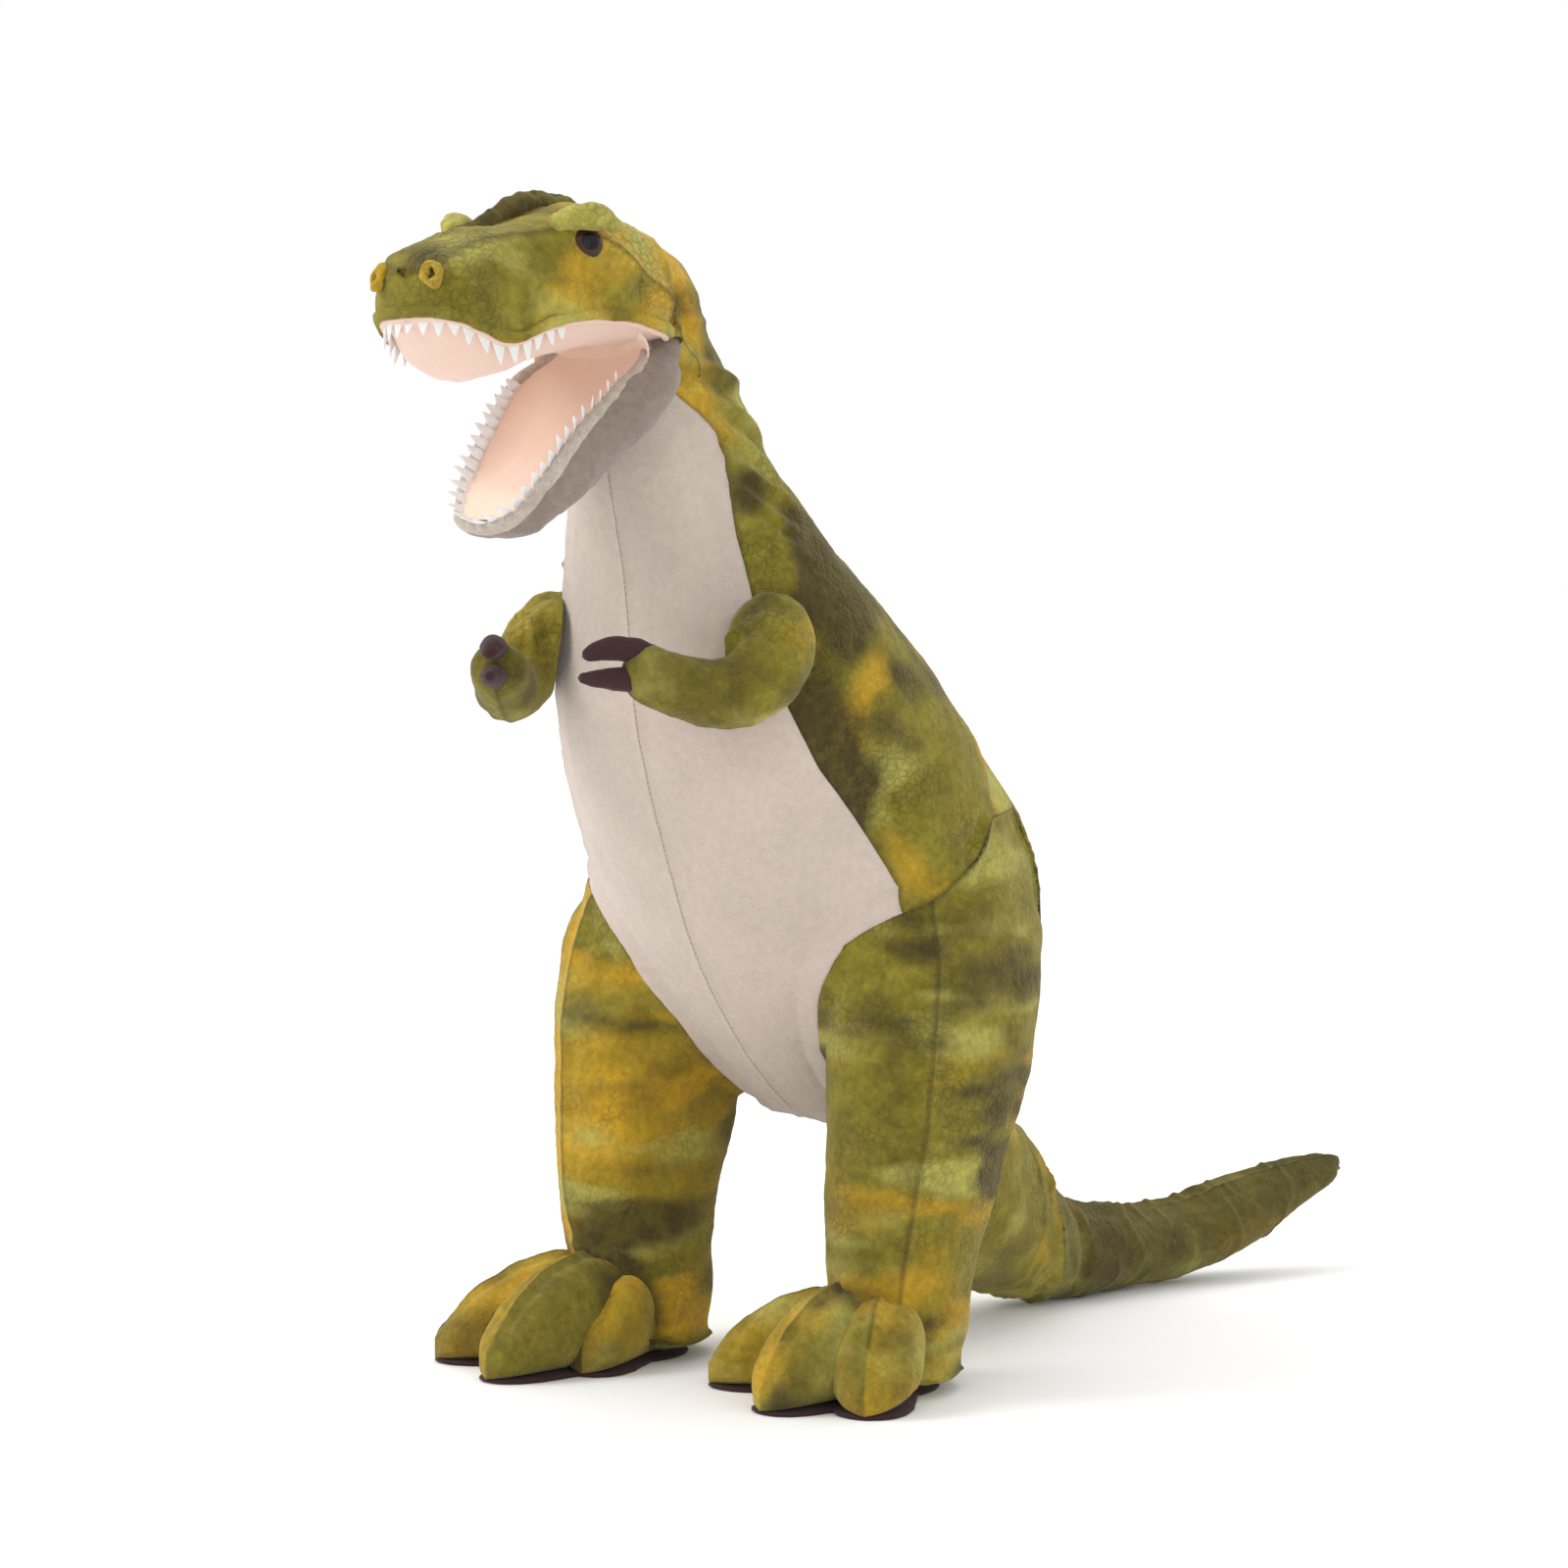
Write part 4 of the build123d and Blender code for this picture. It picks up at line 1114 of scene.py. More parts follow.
# Creases of the arm as (start, end, depth, width), and how much deeper they are made.
ARM_FOLD_DEPTH = 1.4
ARM_FOLDS = [
    ((2, -16, 6), (-8, -22, -8), 2.4, 2.2), ((6, -18, 8), (-4, -28, -6), 1.5, 2.0),
    ((12, -14, 8), (2, -18, 12), 1.1, 2.0), ((20, -6, -2), (10, -22, -2), 1.1, 2.2),
    ((20, -10, -14), (8, -28, -12), 1.2, 2.2), ((16, -18, -28), (4, -32, -12), 1.2, 2.4),
    ((4, -34, -34), (2, -36, -12), 1.0, 2.2), ((-4, -44, -28), (-6, -44, -10), 0.9, 2.0),
    ((-2, -4, 18), (12, -6, 14), 1.0, 2.4),
]


ARM_SEAT = 1.2          # where the arm's cloth starts beyond the shoulder joint


def arm_cloth(side_name):
    """One stuffed arm, closed at the hand, with the creases in the crook of the elbow."""
    side = SIDES[side_name]
    step, columns = detail(0.8, 140)
    rows = np.array(ARM_LINE, float)
    rows = smooth_line(rows, step, 60)
    line, radii = rows[:, :3], rows[:, 3]
    field = tube_field(line[::4], radii[::4])
    starts, directions = line_rays(line[:-2], (0, 0, 1.0), columns, close_end=int(9 / step))
    points = surface_along(starts, directions, field, 30.0)
    relief = 0.55 * layered_noise(points + 90, 15.0, 2) + 0.1 * noise(points, 2.4, 9.1)
    for start, end, depth, width in ARM_FOLDS:
        relief += fold(points, start, end, ARM_FOLD_DEPTH * depth, width)
    turn = full_turn(columns)
    under = np.abs(turn - math.pi)[None, :] * 10.0
    relief += seam(under, 0.8, 1.6)
    seat = (points @ shoulder_out) - ARM_SEAT
    colours = dye(points + np.array([30.0, 10.0 + 40 * side, 90.0]), spots=[])
    upper = bump_at(points, (8, -8, -2), (14, 14, 14))
    colours["gold"] = np.clip(colours["gold"] * 0.8 + (0.75 if side < 0 else 0.0) * upper, 0, 1)
    fore = smooth_step(-points[..., 1], 20, 40)
    colours["dark"] = np.clip(colours["dark"] + 0.45 * fore, 0, 1)
    grid = displaced(points, relief)
    values = {"rest": points, "edge": np.minimum(under, 30.0), "seat": seat, **colours}
    patch = grid_patch(grid, values, closed=True)
    patch = patch.clipped(patch.values["seat"])
    return on_side(patch, side_name, shoulder_at)


# The claws of the left hand about the shoulder joint as (x, y, z, radius).
CLAW_LINES = {
    "upper": [(-14, -52, -6.5, 4.2), (-18.5, -58.5, -4.2, 4.7), (-22.5, -64.5, -3.4, 4.5),
              (-26, -69.5, -4.6, 3.6), (-28.2, -72.6, -6.2, 2.4)],
    "lower": [(-14, -52, -15.5, 4.3), (-18.5, -58.5, -15.2, 4.8), (-22.5, -64.5, -15.0, 4.4),
              (-26.2, -70, -14.8, 3.4), (-28.8, -73.4, -14.6, 2.2)],
}


def claw_cloth(claw, side_name):
    """One stuffed suede claw with a seam round it."""
    rows = smooth_line(CLAW_LINES[claw], 0.5, 14)
    line, radii = rows[:, :3], rows[:, 3]
    columns = 40
    field = tube_field(line[::3], radii[::3])
    starts, directions = line_rays(line[:-1], (0, 0, 1.0), columns, close_end=8)
    points = surface_along(starts, directions, field, 9.0)
    turn = full_turn(columns)
    beside = np.minimum(np.abs(turn - math.pi / 2), np.abs(turn - 1.5 * math.pi))[None, :] * 4
    relief = 0.14 * layered_noise(points, 4.0, 2) - 0.45 * np.exp(-(beside / 0.8) ** 2)
    patch = grid_patch(displaced(points, relief), {"rest": points, "edge": beside + 0 * relief}, True)
    return on_side(patch, side_name, shoulder_at)


# ------------------------------------------------------------------ the outline of the mouth
def head_outline():
    """The head's outline just above the upper lip, from the left corner of the mouth round the
    nose to the right corner, as (x, y, z) with z on the lip.
    """
    back = np.linspace(mouth_at[1] - 1, nose_y + 17, 60)
    fan = np.linspace(0, math.pi, 50)[1:-1]
    starts = [(0, y) for y in back] + [(0, nose_y + 17)] * len(fan) + [(0, y) for y in back[::-1]]
    ways = ([(1, 0)] * len(back) + [(math.cos(t), -math.sin(t)) for t in fan]
            + [(-1, 0)] * len(back))
    starts, ways = np.array(starts, float), np.array(ways)
    heights = lip_height(starts[:, 1]) + 4.0
    starts = np.column_stack([starts, heights])
    ways = np.column_stack([ways, 0 * heights])
    hit = surface_along(starts, ways, trunk_surface, 70.0)
    hit[:, 2] = lip_height(hit[:, 1])
    return smooth_line(hit, 0.8, 16)


def outward_of(line):
    """Level unit vectors that point out of the mouth's outline."""
    ahead = np.gradient(line, axis=0)
    return unit(np.stack([-ahead[:, 1], ahead[:, 0], 0 * ahead[:, 0]], axis=1))


lip_edge = head_outline()
lip_out = outward_of(lip_edge)


def ribbon(line, profile, sideways):
    """A grid swept along a line; profile holds (how far sideways, how far up) pairs."""
    return np.stack([line + sideways * s + np.array([0, 0, 1.0]) * u for s, u in profile], axis=1)


# The lip strip across its width as (outwards, up) from the lip's edge.
LIP_PROFILE = [(-2.6, 0.8), (-1.6, -0.9), (-0.2, -1.4), (0.9, -0.8), (1.3, 0.6), (1.2, 1.8),
               (0.6, 2.9), (-0.3, 3.6), (-1.4, 3.9)]


def lip_band():
    """The stitched strip of green plush along the upper lip."""
    profile = smooth_line(np.pad(LIP_PROFILE, ((0, 0), (0, 1))), 0.5, 2)[:, :2]
    grid = ribbon(lip_edge, profile, lip_out)
    height = grid[..., 2] - lip_edge[:, None, 2]
    relief = 0.22 * layered_noise(grid, 6.0, 2) - 0.35 * np.exp(-((height - 2.2) / 0.7) ** 2)
    values = {"rest": grid, "edge": np.abs(height - 3.6) * 1.6, **dye(grid)}
    return grid_patch(displaced(grid, relief, closed=False)[:, ::-1],
                      {k: v[:, ::-1] for k, v in values.items()})


def round_tube(line, radius, fuzz, columns=12, hint=(0, 0, 1.0)):
    """A tube along a line, closed at both ends, with an uneven surface."""
    shut = 4
    radii = np.broadcast_to(radius, len(line)).astype(float)
    starts, directions = line_rays(line, hint, columns, shut, shut)
    reach = np.concatenate([np.full(shut, radii[0]), radii, np.full(shut, radii[-1])])
    grid = starts + directions * reach[:, None, None]
    return seamless(grid, fuzz * layered_noise(grid, 4.5, 2), closed=True)


LIP_DROP = np.array([0, 0, 0.9])    # how far the piping and the teeth hang below the lip's edge


def lip_piping():
    """The pink piping that shows under the lip band."""
    return round_tube(lip_edge - 2.2 * lip_out - LIP_DROP, 1.5, 0.06)


# Size of the upper teeth from the nose back, as (share of the way to the mouth corner, length).
UPPER_TEETH = [(0.0, 6.4), (0.16, 6.2), (0.24, 8.0), (0.34, 7.4), (0.42, 8.2), (0.5, 6.4), (0.56, 4.8)]
UPPER_PITCH = 5.6
UPPER_INSET = 2.9       # how far inside the lip's edge the upper teeth are sewn


FELT = 1.0              # thickness of the tooth felt


def tooth(spot, aside, down, length, width, tilt, curl):
    """One felt triangle with rounded edges."""
    ahead = np.cross(aside, down)
    turn = full_turn(12)
    flat = np.sign(np.cos(turn)) * np.abs(np.cos(turn)) ** 0.5
    deep = np.sign(np.sin(turn)) * np.abs(np.sin(turn)) ** 0.6
    rings = []
    for share in (-0.42, 0.0, 0.25, 0.5, 0.75, 0.92, 1.0):
        free = max(share, 0)
        wide = width / 2 * (1 - free) ** 0.86 + 0.22
        thick = FELT / 2 * (1 - 0.45 * free)
        centre = spot + down * length * share + ahead * tilt * length * free - aside * curl * free ** 2
        rings.append(centre + (wide * flat)[:, None] * ahead + (thick * deep)[:, None] * aside)
    rings = [0 * rings[0] + rings[0].mean(axis=0), *rings, 0 * rings[0] + rings[-1].mean(axis=0)]
    return seamless(np.array(rings), closed=True).compacted()


def tooth_row(line, inward, tips, sizes, pitch):
    """Felt triangles along a line: tips is the direction they point and sizes their lengths."""
    along = lengths_along(line)
    teeth = []
    at = pitch * 0.5
    while at < along[-1] - pitch * 0.5:
        aside, down = unit(row_at(at, along, inward)), unit(row_at(at, along, tips))
        length = float(np.interp(at, along, sizes)) * rng.uniform(0.86, 1.1)
        width = pitch * rng.uniform(0.86, 1.0)
        tilt = rng.uniform(-0.12, 0.12)
        curl = rng.uniform(-0.5, 0.9)
        teeth.append(tooth(row_at(at, along, line), aside, down, length, width, tilt, curl))
        at += pitch * (0.82 + 0.3 * length / 8.0)
    return merged(teeth)


def upper_teeth():
    """The felt teeth that hang inside the upper lip."""
    share = np.abs(np.linspace(-1, 1, len(lip_edge)))
    keep = share < UPPER_TEETH[-1][0]
    sizes = np.interp(share, *np.array(UPPER_TEETH).T)[keep]
    line = (lip_edge - UPPER_INSET * lip_out - LIP_DROP)[keep]
    tips = np.column_stack([0.12 * lip_out[keep, :2], -np.ones(len(line))])
    return tooth_row(line, -lip_out[keep], tips, sizes, UPPER_PITCH)


# How far the palate hangs below the lip as (share of the way from the nose to the mouth, depth).
PALATE_DEPTH = np.array([(0.02, 1), (0.08, 7), (0.19, 13), (0.4, 16.5), (0.62, 14), (0.8, 9), (0.95, 5),
                         (1.1, 3)])


def palate():
    """The padded roof of the mouth, bulging below the lip."""
    left = lip_edge[:len(lip_edge) // 2]
    left = left[np.argsort(left[:, 1])]
    rows = []
    for y in np.linspace(mouth_at[1] + 6, nose_y + 4, 90):
        wide = np.interp(y, left[:, 1], left[:, 0]) - 2.6
        lip = float(lip_height(y))
        share = (y - nose_y) / (mouth_at[1] - nose_y)
        depth = np.interp(share, *PALATE_DEPTH.T)
        across = np.linspace(-1, 1, 81)
        sag = np.maximum(1 - np.abs(across) ** 2.2, 0) ** 0.7
        rows.append(np.stack([wide * across, y + 0 * across, lip + 0.6 - depth * sag], axis=1))
    grid = np.array(rows)
    relief = 0.35 * layered_noise(grid, 22.0, 2) + seam(grid[..., 0], 0.3, 1.6)
    return seamless(grid, relief)


# ------------------------------------------------------------------ lower jaw
drop = math.radians(JAW_DROP)
jaw_along = np.array([0, -math.cos(drop), -math.sin(drop)])
jaw_up = np.array([0, -math.sin(drop), math.cos(drop)])
jaw_tree = shape_of("jaw_cover", "jaw_rim")
rim_points = node_points("jaw_rim") - mouth_at
jaw_length = ((node_points("jaw_cover", "jaw_rim") - mouth_at) @ jaw_along).max()


def jaw_profile():
    """Jaw sections from the hinge to the tip: (along, half width, underside, rim height)."""
    rows = []
    rim_along, rim_up = rim_points @ jaw_along, rim_points @ jaw_up
    for along in np.linspace(5, jaw_length - 10, 24):
        near = np.abs(rim_along - along) < 4
        rim = rim_up[near].max()
        spot = mouth_at + jaw_along * along
        side = cast(jaw_tree, spot + jaw_up * (rim - 4) + np.array([300.0, 0, 0]), (-1, 0, 0))
        low = cast(jaw_tree, spot - jaw_up * 60, jaw_up)
        if side is None or low is None:
            continue
        rows.append((along, side[0], (low - mouth_at) @ jaw_up, rim))
    rows = np.array(rows)
    last = rows[-1]
    for share in (0.3, 0.55, 0.75, 0.9, 0.97, 1.0):
        shrink = math.sqrt(max(1 - share ** 2, 0.0))
        low = last[3] - 3 - (last[3] - 3 - last[2]) * shrink
        end = (last[0] + (jaw_length - last[0]) * share, last[1] * shrink, low, last[3])
        rows = np.vstack([rows, end])
    return rows


jaw_rows = jaw_profile()


def jaw_at(along):
    """(half width of the rim, underside, rim height) of the jaw at distances from the hinge."""
    half, low, rim = [np.interp(along, jaw_rows[:, 0], jaw_rows[:, k]) for k in (1, 2, 3)]
    narrowed = np.interp(along, [0, 50, jaw_length - 12, jaw_length], [0.80, 0.86, 0.96, 1.0])
    return half * narrowed, low, rim


def jaw_spot(x, along, up):
    """Places in the jaw's own directions as points."""
    x, along, up = np.broadcast_arrays(x, along, up)
    return (mouth_at + x[..., None] * np.array([1.0, 0, 0]) + along[..., None] * jaw_along
            + up[..., None] * jaw_up)


def tip_spaced(count, start):
    """Distances along the jaw, closer together at its round tip."""
    share = np.linspace(0, 1, count)
    return start + (jaw_length - start) * np.sin(share * math.pi / 2) ** 0.9


# Creases of the cloth at the back of the jaw, about the mouth corner, as (start, end, depth, width).
JAW_FOLDS = [((34, -8, -4), (33, -26, -26), 1.2, 3.0), ((35, -4, -14), (26, -24, -36), 0.9, 3.0),
             ((30, -34, -44), (14, -44, -66), 0.6, 3.0)]


def jaw_outer():
    """The grey-beige cloth of the jaw, from rim to rim round its underside."""
    along = np.concatenate([np.linspace(-11, 2, 16), tip_spaced(110, 3.0)])
    half, low, rim = jaw_at(along)
    wide = np.interp(along, jaw_rows[:, 0], jaw_rows[:, 1])
    wide = wide + np.interp(along, [-11, 0, 20, 60, jaw_length], [-3.5, 1.0, 1.5, 0.5, 0])
    low = low - np.interp(along, [-11, 0, 25, 55, 80, jaw_length], [0, 0, 4.5, 4.5, 2, 0])
    top = rim - 2.2
    equator = top - np.minimum(10.0, 0.5 * (top - low))
    over = 0.62
    turn = np.linspace(-over, math.pi + over, 150)[None, :]
    across = np.cos(turn) * np.where(np.sin(turn) > 0, wide[:, None], 0)
    lifted = np.clip(-np.sin(turn) / math.sin(over), 0, 1)
    inward = (half - 1.4 - wide)[:, None] * lifted ** 1.6
    above = np.sign(np.cos(turn)) * (wide[:, None] + inward)
    across = np.where(np.sin(turn) > 0, across, above)
    under = np.clip(np.sin(turn), 0, 1) ** 0.85
    up = equator[:, None] - (equator - low)[:, None] * under + (top - equator)[:, None] * lifted
    grid = jaw_spot(across, along[:, None], up)
    keel = grid[..., 0]
    relief = 0.5 * layered_noise(grid, 20.0, 3) + 0.1 * noise(grid, 2.4, 4.0) + seam(keel, 0.8, 1.8)
    for start, end, deep, width in JAW_FOLDS:
        relief += fold(mirrored(grid) - mouth_at, start, end, deep, width)
    fade = smooth_step(jaw_length - along, 0, 6)[:, None]
    values = {"rest": grid, "edge": np.abs(keel)}
    return grid_patch(displaced(grid, relief * fade, closed=False), values)


def rim_line(inset, lift, start=1.0):
    """A line round the jaw's edge from the left corner by the tip to the right corner."""
    along = tip_spaced(90, start)
    half, _, rim = jaw_at(along)
    side = jaw_spot(np.maximum(half - inset, 0), along, rim + lift)
    side[-1, 0] = 0
    back = side[:-1][::-1] * np.array([-1, 1, 1])
    return smooth_line(np.concatenate([side, back]), 0.9, 14)


def jaw_rim_roll():
    """The fuzzy stuffed roll round the edge of the jaw."""
    line = rim_line(1.8, -3.2)
    radius = 2.7 + 0.2 * noise(line, 14.0, 2.0)
    return round_tube(line, radius, 0.16, columns=26, hint=jaw_up)


def jaw_floor(along, share):
    """Height of the mouth's floor over the jaw's middle line, share from edge to edge."""
    _, low, rim = jaw_at(along)
    deep = np.minimum(rim - 3.5 - (low + 8.5), 12.0) * smooth_step(jaw_length - 4 - along, -2, 26)
    return rim - 1.6 - np.maximum(deep, 0) * np.maximum(1 - np.abs(share) ** 2.4, 0) ** 0.8


def jaw_lining():
    """The pink lining of the lower jaw."""
    along = tip_spaced(90, 2.0) * (jaw_length - 2.4) / jaw_length
    half = jaw_at(along)[0]
    share = np.linspace(-1, 1, 91)
    half = np.maximum(half - 3.0, 0.02)[:, None]
    grid = jaw_spot(half * share[None, :], along[:, None], jaw_floor(along[:, None], share[None, :]))
    relief = 0.3 * layered_noise(grid, 24.0, 2) + seam(grid[..., 0] + 4, 0.25, 2.0)
    return seamless(grid, relief)


def throat():
    """The pink lining at the back of the mouth, folded in at both corners."""
    share = np.linspace(-1, 1, 121)[None, :]
    run = np.linspace(0, 1, 60)[:, None, None]
    x = share * 31.5
    low_start = 20.0
    start_x = share * (float(jaw_at(low_start)[0]) - 2.6)
    start = jaw_spot(start_x, low_start + 0 * x, jaw_floor(low_start + 0 * x, share * 0.98))
    y_end = mouth_at[1] - 24
    lip = float(lip_height(y_end))
    end = np.stack([x, y_end + 0 * x, lip - 5.5 * np.maximum(1 - np.abs(share) ** 2.4, 0) ** 0.8 + 0 * x],
                   axis=-1)
    back = 15 * (1 - np.abs(share) ** 3)
    corner = np.stack([share * 27.0, mouth_at[1] + back - 1.5, mouth_at[2] - 2.5 + 0 * x], axis=-1)
    grid = (1 - run) ** 2 * start + 2 * run * (1 - run) * corner + run ** 2 * end
    relief = 0.4 * layered_noise(grid, 18.0, 2)
    folded = mirrored(grid) - mouth_at
    relief += fold(folded, (30, -30, -6), (14, -2, -2), 1.5, 2.2)
    relief += fold(folded, (31, -18, -22), (24, 0, -6), 1.2, 2.2)
    return seamless(grid, relief)


# Size of the lower teeth from the corner of the mouth to the tip, as (share of the way, length).
LOWER_TEETH = [(0.0, 3.6), (0.2, 5.0), (0.5, 6.4), (0.8, 6.6), (1.0, 5.4)]
LOWER_PITCH = 5.2


def lower_teeth():
    """The felt teeth that stand inside the rim of the jaw."""
    line = rim_line(4.2, -0.6, start=24.0)
    middle = line.mean(axis=0)
    inward = unit((middle - line) * np.array([1, 0.35, 0.35]))
    tips = unit(jaw_up[None, :] - 0.42 * inward)
    share = 1 - np.abs(np.linspace(-1, 1, len(line)))
    sizes = np.interp(share, *np.array(LOWER_TEETH).T)
    return tooth_row(line, inward, tips, sizes, LOWER_PITCH)


# ------------------------------------------------------------------ eyes, brows, crest, nostrils
eye_points = node_points("eye_left")
eye_face = unit(np.array([0.86, -0.42, 0.20]))
eye_front = eye_points[np.argsort(eye_points @ eye_face)[-40:]].mean(axis=0)
eye_at = eye_front - 2.4 * eye_face


# The eye's outline from its front to its back as (radius, height); the dome is flattened later.
EYE_RINGS = np.array([(0.0, 3.3), (0.6, 3.28), (1.6, 3.15), (2.6, 2.9), (3.6, 2.45), (4.6, 1.75),
                      (5.3, 1.05), (5.8, 0.3), (5.95, -0.4), (5.9, -1.2), (5.2, -1.8), (0.0, -1.9)])


def eye_ball(side_name):
    """The domed plastic eye; radius is the distance from its middle."""
    rings = EYE_RINGS * np.array([1, 0.78]) - np.array([0, 0.5])
    fine = smooth_line(np.column_stack([rings, 0 * rings[:, 0]]), 0.18, 3)
    line_x = unit(np.cross(eye_face, [0, 0, 1.0]))
    line_y = np.cross(line_x, eye_face)
    turn = full_turn(64)
    spread = np.cos(turn)[:, None] * line_x + np.sin(turn)[:, None] * line_y
    grid = eye_at + fine[:, None, :1] * spread[None] + fine[:, None, 1:2] * eye_face
    radius = np.broadcast_to(fine[:, :1], grid.shape[:2]).copy()
    patch = grid_patch(grid[:, ::-1], {"rest": grid[:, ::-1], "radius": radius[:, ::-1]}, closed=True)
    return on_side(patch, side_name)


def laid_roll(points, columns, relief_of, step=0.7, rounds=16):
    """(grid, relief) of a soft roll along given (x, y, z, half width, half height) points."""
    ends = 6
    rows = smooth_line(points, step, rounds)
    line, halves = rows[:, :3], rows[:, 3:]
    starts, directions = line_rays(line, (0, 0, 1.0), columns, ends, ends)
    turn = full_turn(columns)
    halves = np.concatenate([np.repeat(halves[:1], ends, 0), halves, np.repeat(halves[-1:], ends, 0)])
    reach = 1 / np.sqrt((np.cos(turn) / halves[:, 1:]) ** 2 + (np.sin(turn) / halves[:, :1]) ** 2)
    grid = starts + directions * reach[..., None]
    return grid, relief_of(grid, turn)


# The crest and the left brow from front to back as (x, y, z, half width, half height).
CREST = [(0, -150, 435.7, 2.4, 2.2), (0, -146, 438.7, 4.6, 4.2), (0, -141, 441.2, 5.0, 4.4),
         (0, -136, 443.2, 3.0, 3.0), (0, -128, 446.7, 2.6, 2.8), (0, -118, 451.7, 2.7, 3.1),
         (0, -106, 456.7, 2.9, 3.3), (0, -94, 459.2, 2.9, 3.2), (0, -82, 458.7, 2.7, 3.0),
         (0, -71, 455.2, 2.2, 2.2)]


def crest_roll():
    """The dark wrinkled ridge along the top of the head with its bulb in front."""
    def relief_of(grid, turn):
        pinch = 0
        for place in (-135, -122, -110, -99, -86):
            wobble = 2.5 * noise(grid, 7.0, place)
            pinch = pinch - 0.5 * np.exp(-((grid[..., 1] - place + wobble) / 1.5) ** 2)
        ridge = np.exp(-(grid[..., 0] / 1.1) ** 2) * (np.cos(turn)[None, :] > 0)
        return pinch + 0.5 * layered_noise(grid, 6.0, 2) - 0.8 * ridge
    grid, relief = laid_roll(CREST, 48, relief_of)
    values = {"rest": grid, "edge": np.abs(grid[..., 0]) * 1.2, **dye(grid)}
    values["dark"] = np.clip(values["dark"] + 0.25, 0, 1)
    values["gold"] = values["gold"] * 0.4
    return grid_patch(displaced(grid, relief), values, closed=True)


BROW = [(25.5, -113, 448.5, 3.4, 3.2), (28.5, -110, 450, 5.6, 4.8), (32, -105, 450.5, 6.0, 5.0),
        (34.5, -100, 450.5, 4.8, 4.2), (36.5, -96, 448.5, 3.0, 3.0)]


def brow_roll(side_name):
    """The pale folded brow over one eye."""
    def relief_of(grid, _):
        away, _ = along_segment(grid, (23, -114, 449), (34, -106, 453))
        pinch = -1.1 * np.exp(-(away / 1.2) ** 2)
        for place in ((21, -117, 446), (27, -118, 448), (34, -101, 450)):
            pinch = pinch - 0.8 * bump_at(grid, place, (1.3, 3.5, 3.5))
        return pinch + 0.5 * layered_noise(grid, 5.0, 2)
    grid, relief = laid_roll(BROW, 44, relief_of, step=0.5, rounds=10)
    values = {"rest": grid, "edge": np.full(grid.shape[:-1], NO_SEAM), **dye(grid)}
    values["pale"] = 1 + 0 * values["pale"]
    values["dark"] = 0 * values["dark"]
    values["gold"] = 0.35 * values["gold"]
    patch = grid_patch(displaced(grid, relief), values, closed=True)
    return on_side(patch, side_name)


def nostril_ring(side_name):
    """The small sewn roll round one nostril."""
    side = SIDES[side_name]
    points = node_points(f"nostril_{side_name}")
    middle = points.mean(axis=0)
    out = unit(np.array([0.5 * side, -1.0, 0.3]))
    first = unit(np.cross(out, [0, 0, 1.0]))
    second = np.cross(first, out)
    turn = full_turn(60)[:, None]
    seat = middle - 0.8 * out
    ring = seat + 3.0 * (np.cos(turn) * first * 0.8 + np.sin(turn) * second * 1.15)
    round_way = full_turn(22)
    outward = unit(ring - seat)
    thick = 1.9 + 0.35 * np.sin(3 * turn + 1)
    grid = (ring[:, None] + (thick * np.cos(round_way))[..., None] * outward[:, None]
            + (thick * np.sin(round_way))[..., None] * out)
    grid = np.concatenate([grid, grid[:1]])
    relief = 0.35 * layered_noise(grid, 3.6, 2)
    relief[-1] = relief[0]
    values = {"rest": grid, "edge": np.full(grid.shape[:-1], NO_SEAM), **dye(grid)}
    values["gold"] = np.clip(values["gold"] + 0.7, 0, 1)
    values["dark"] = values["dark"] * 0.1
    moved = grid + relief[..., None] * unit(grid - seat)
    patch = grid_patch(moved, values, closed=True)
    if side > 0:
        patch.faces = patch.faces[:, ::-1]
    return patch


# ------------------------------------------------------------------ stitches
STITCH_PITCH = 2.4
STITCH_LENGTH = 1.7
STITCH_SINK = 0.10      # how deep the ends of a stitch lie in the cloth
THREAD = 0.28           # half the thickness of the thread


def stitch_row(line, normals):
    """Thread stitches along a line on the cloth, each one a small bent capsule."""
    along = lengths_along(line)
    stitches = []
    for at in np.arange(STITCH_PITCH, along[-1] - STITCH_PITCH, STITCH_PITCH):
        rows = []
        for part in np.linspace(-0.5, 0.5, 5):
            out = unit(row_at(at, along, normals))
            lift = 0.22 * math.cos(part * math.pi) - STITCH_SINK
            rows.append(row_at(at + part * STITCH_LENGTH, along, line) + out * lift)
        starts, directions = line_rays(np.array(rows), out, 6, 2, 2)
        stitches.append(seamless(starts + directions * THREAD, closed=True).compacted())
    return merged(stitches)


def belly_stitches(cloth):
    """The stitches down the middle of the belly, laid on the finished cloth."""
    tree = BVHTree.FromPolygons([Vector(p) for p in cloth.points], cloth.faces.tolist())
    line, normals = [], []
    for z in np.linspace(torso_low + 16, neck_at[2] + 14, 260):
        hit, normal, _, _ = tree.ray_cast(Vector((0.35, -400, z)), Vector((0, 1, 0)))
        if hit is not None:
            line.append(np.array(hit) * np.array([0, 1, 1]))
            normals.append(np.array(normal))
    return stitch_row(np.array(line), np.array(normals))


# ------------------------------------------------------------------ materials
# Colours of the cloth, as linear red, green and blue.
OLIVE = (0.150, 0.126, 0.014)
GOLD = (0.500, 0.290, 0.018)
PALE = (0.370, 0.340, 0.075)
DARK = (0.064, 0.049, 0.014)
CREAM = (0.570, 0.480, 0.415)
# The jaw's grey is its own colour darkened further as painted shade for its shadowed underside.
SHADED_JAW_GREY = (0.270, 0.212, 0.172)
RIM = (0.520, 0.450, 0.380)
# PINK and SHADED_ROOF_PINK are lit and shaded copies of one lining: the roof's copy is darkened as painted
# shade.
PINK = (0.900, 0.670, 0.545)
SHADED_ROOF_PINK = (0.760, 0.540, 0.445)
FELT_WHITE = (0.820, 0.820, 0.810)
SUEDE = (0.050, 0.022, 0.024)


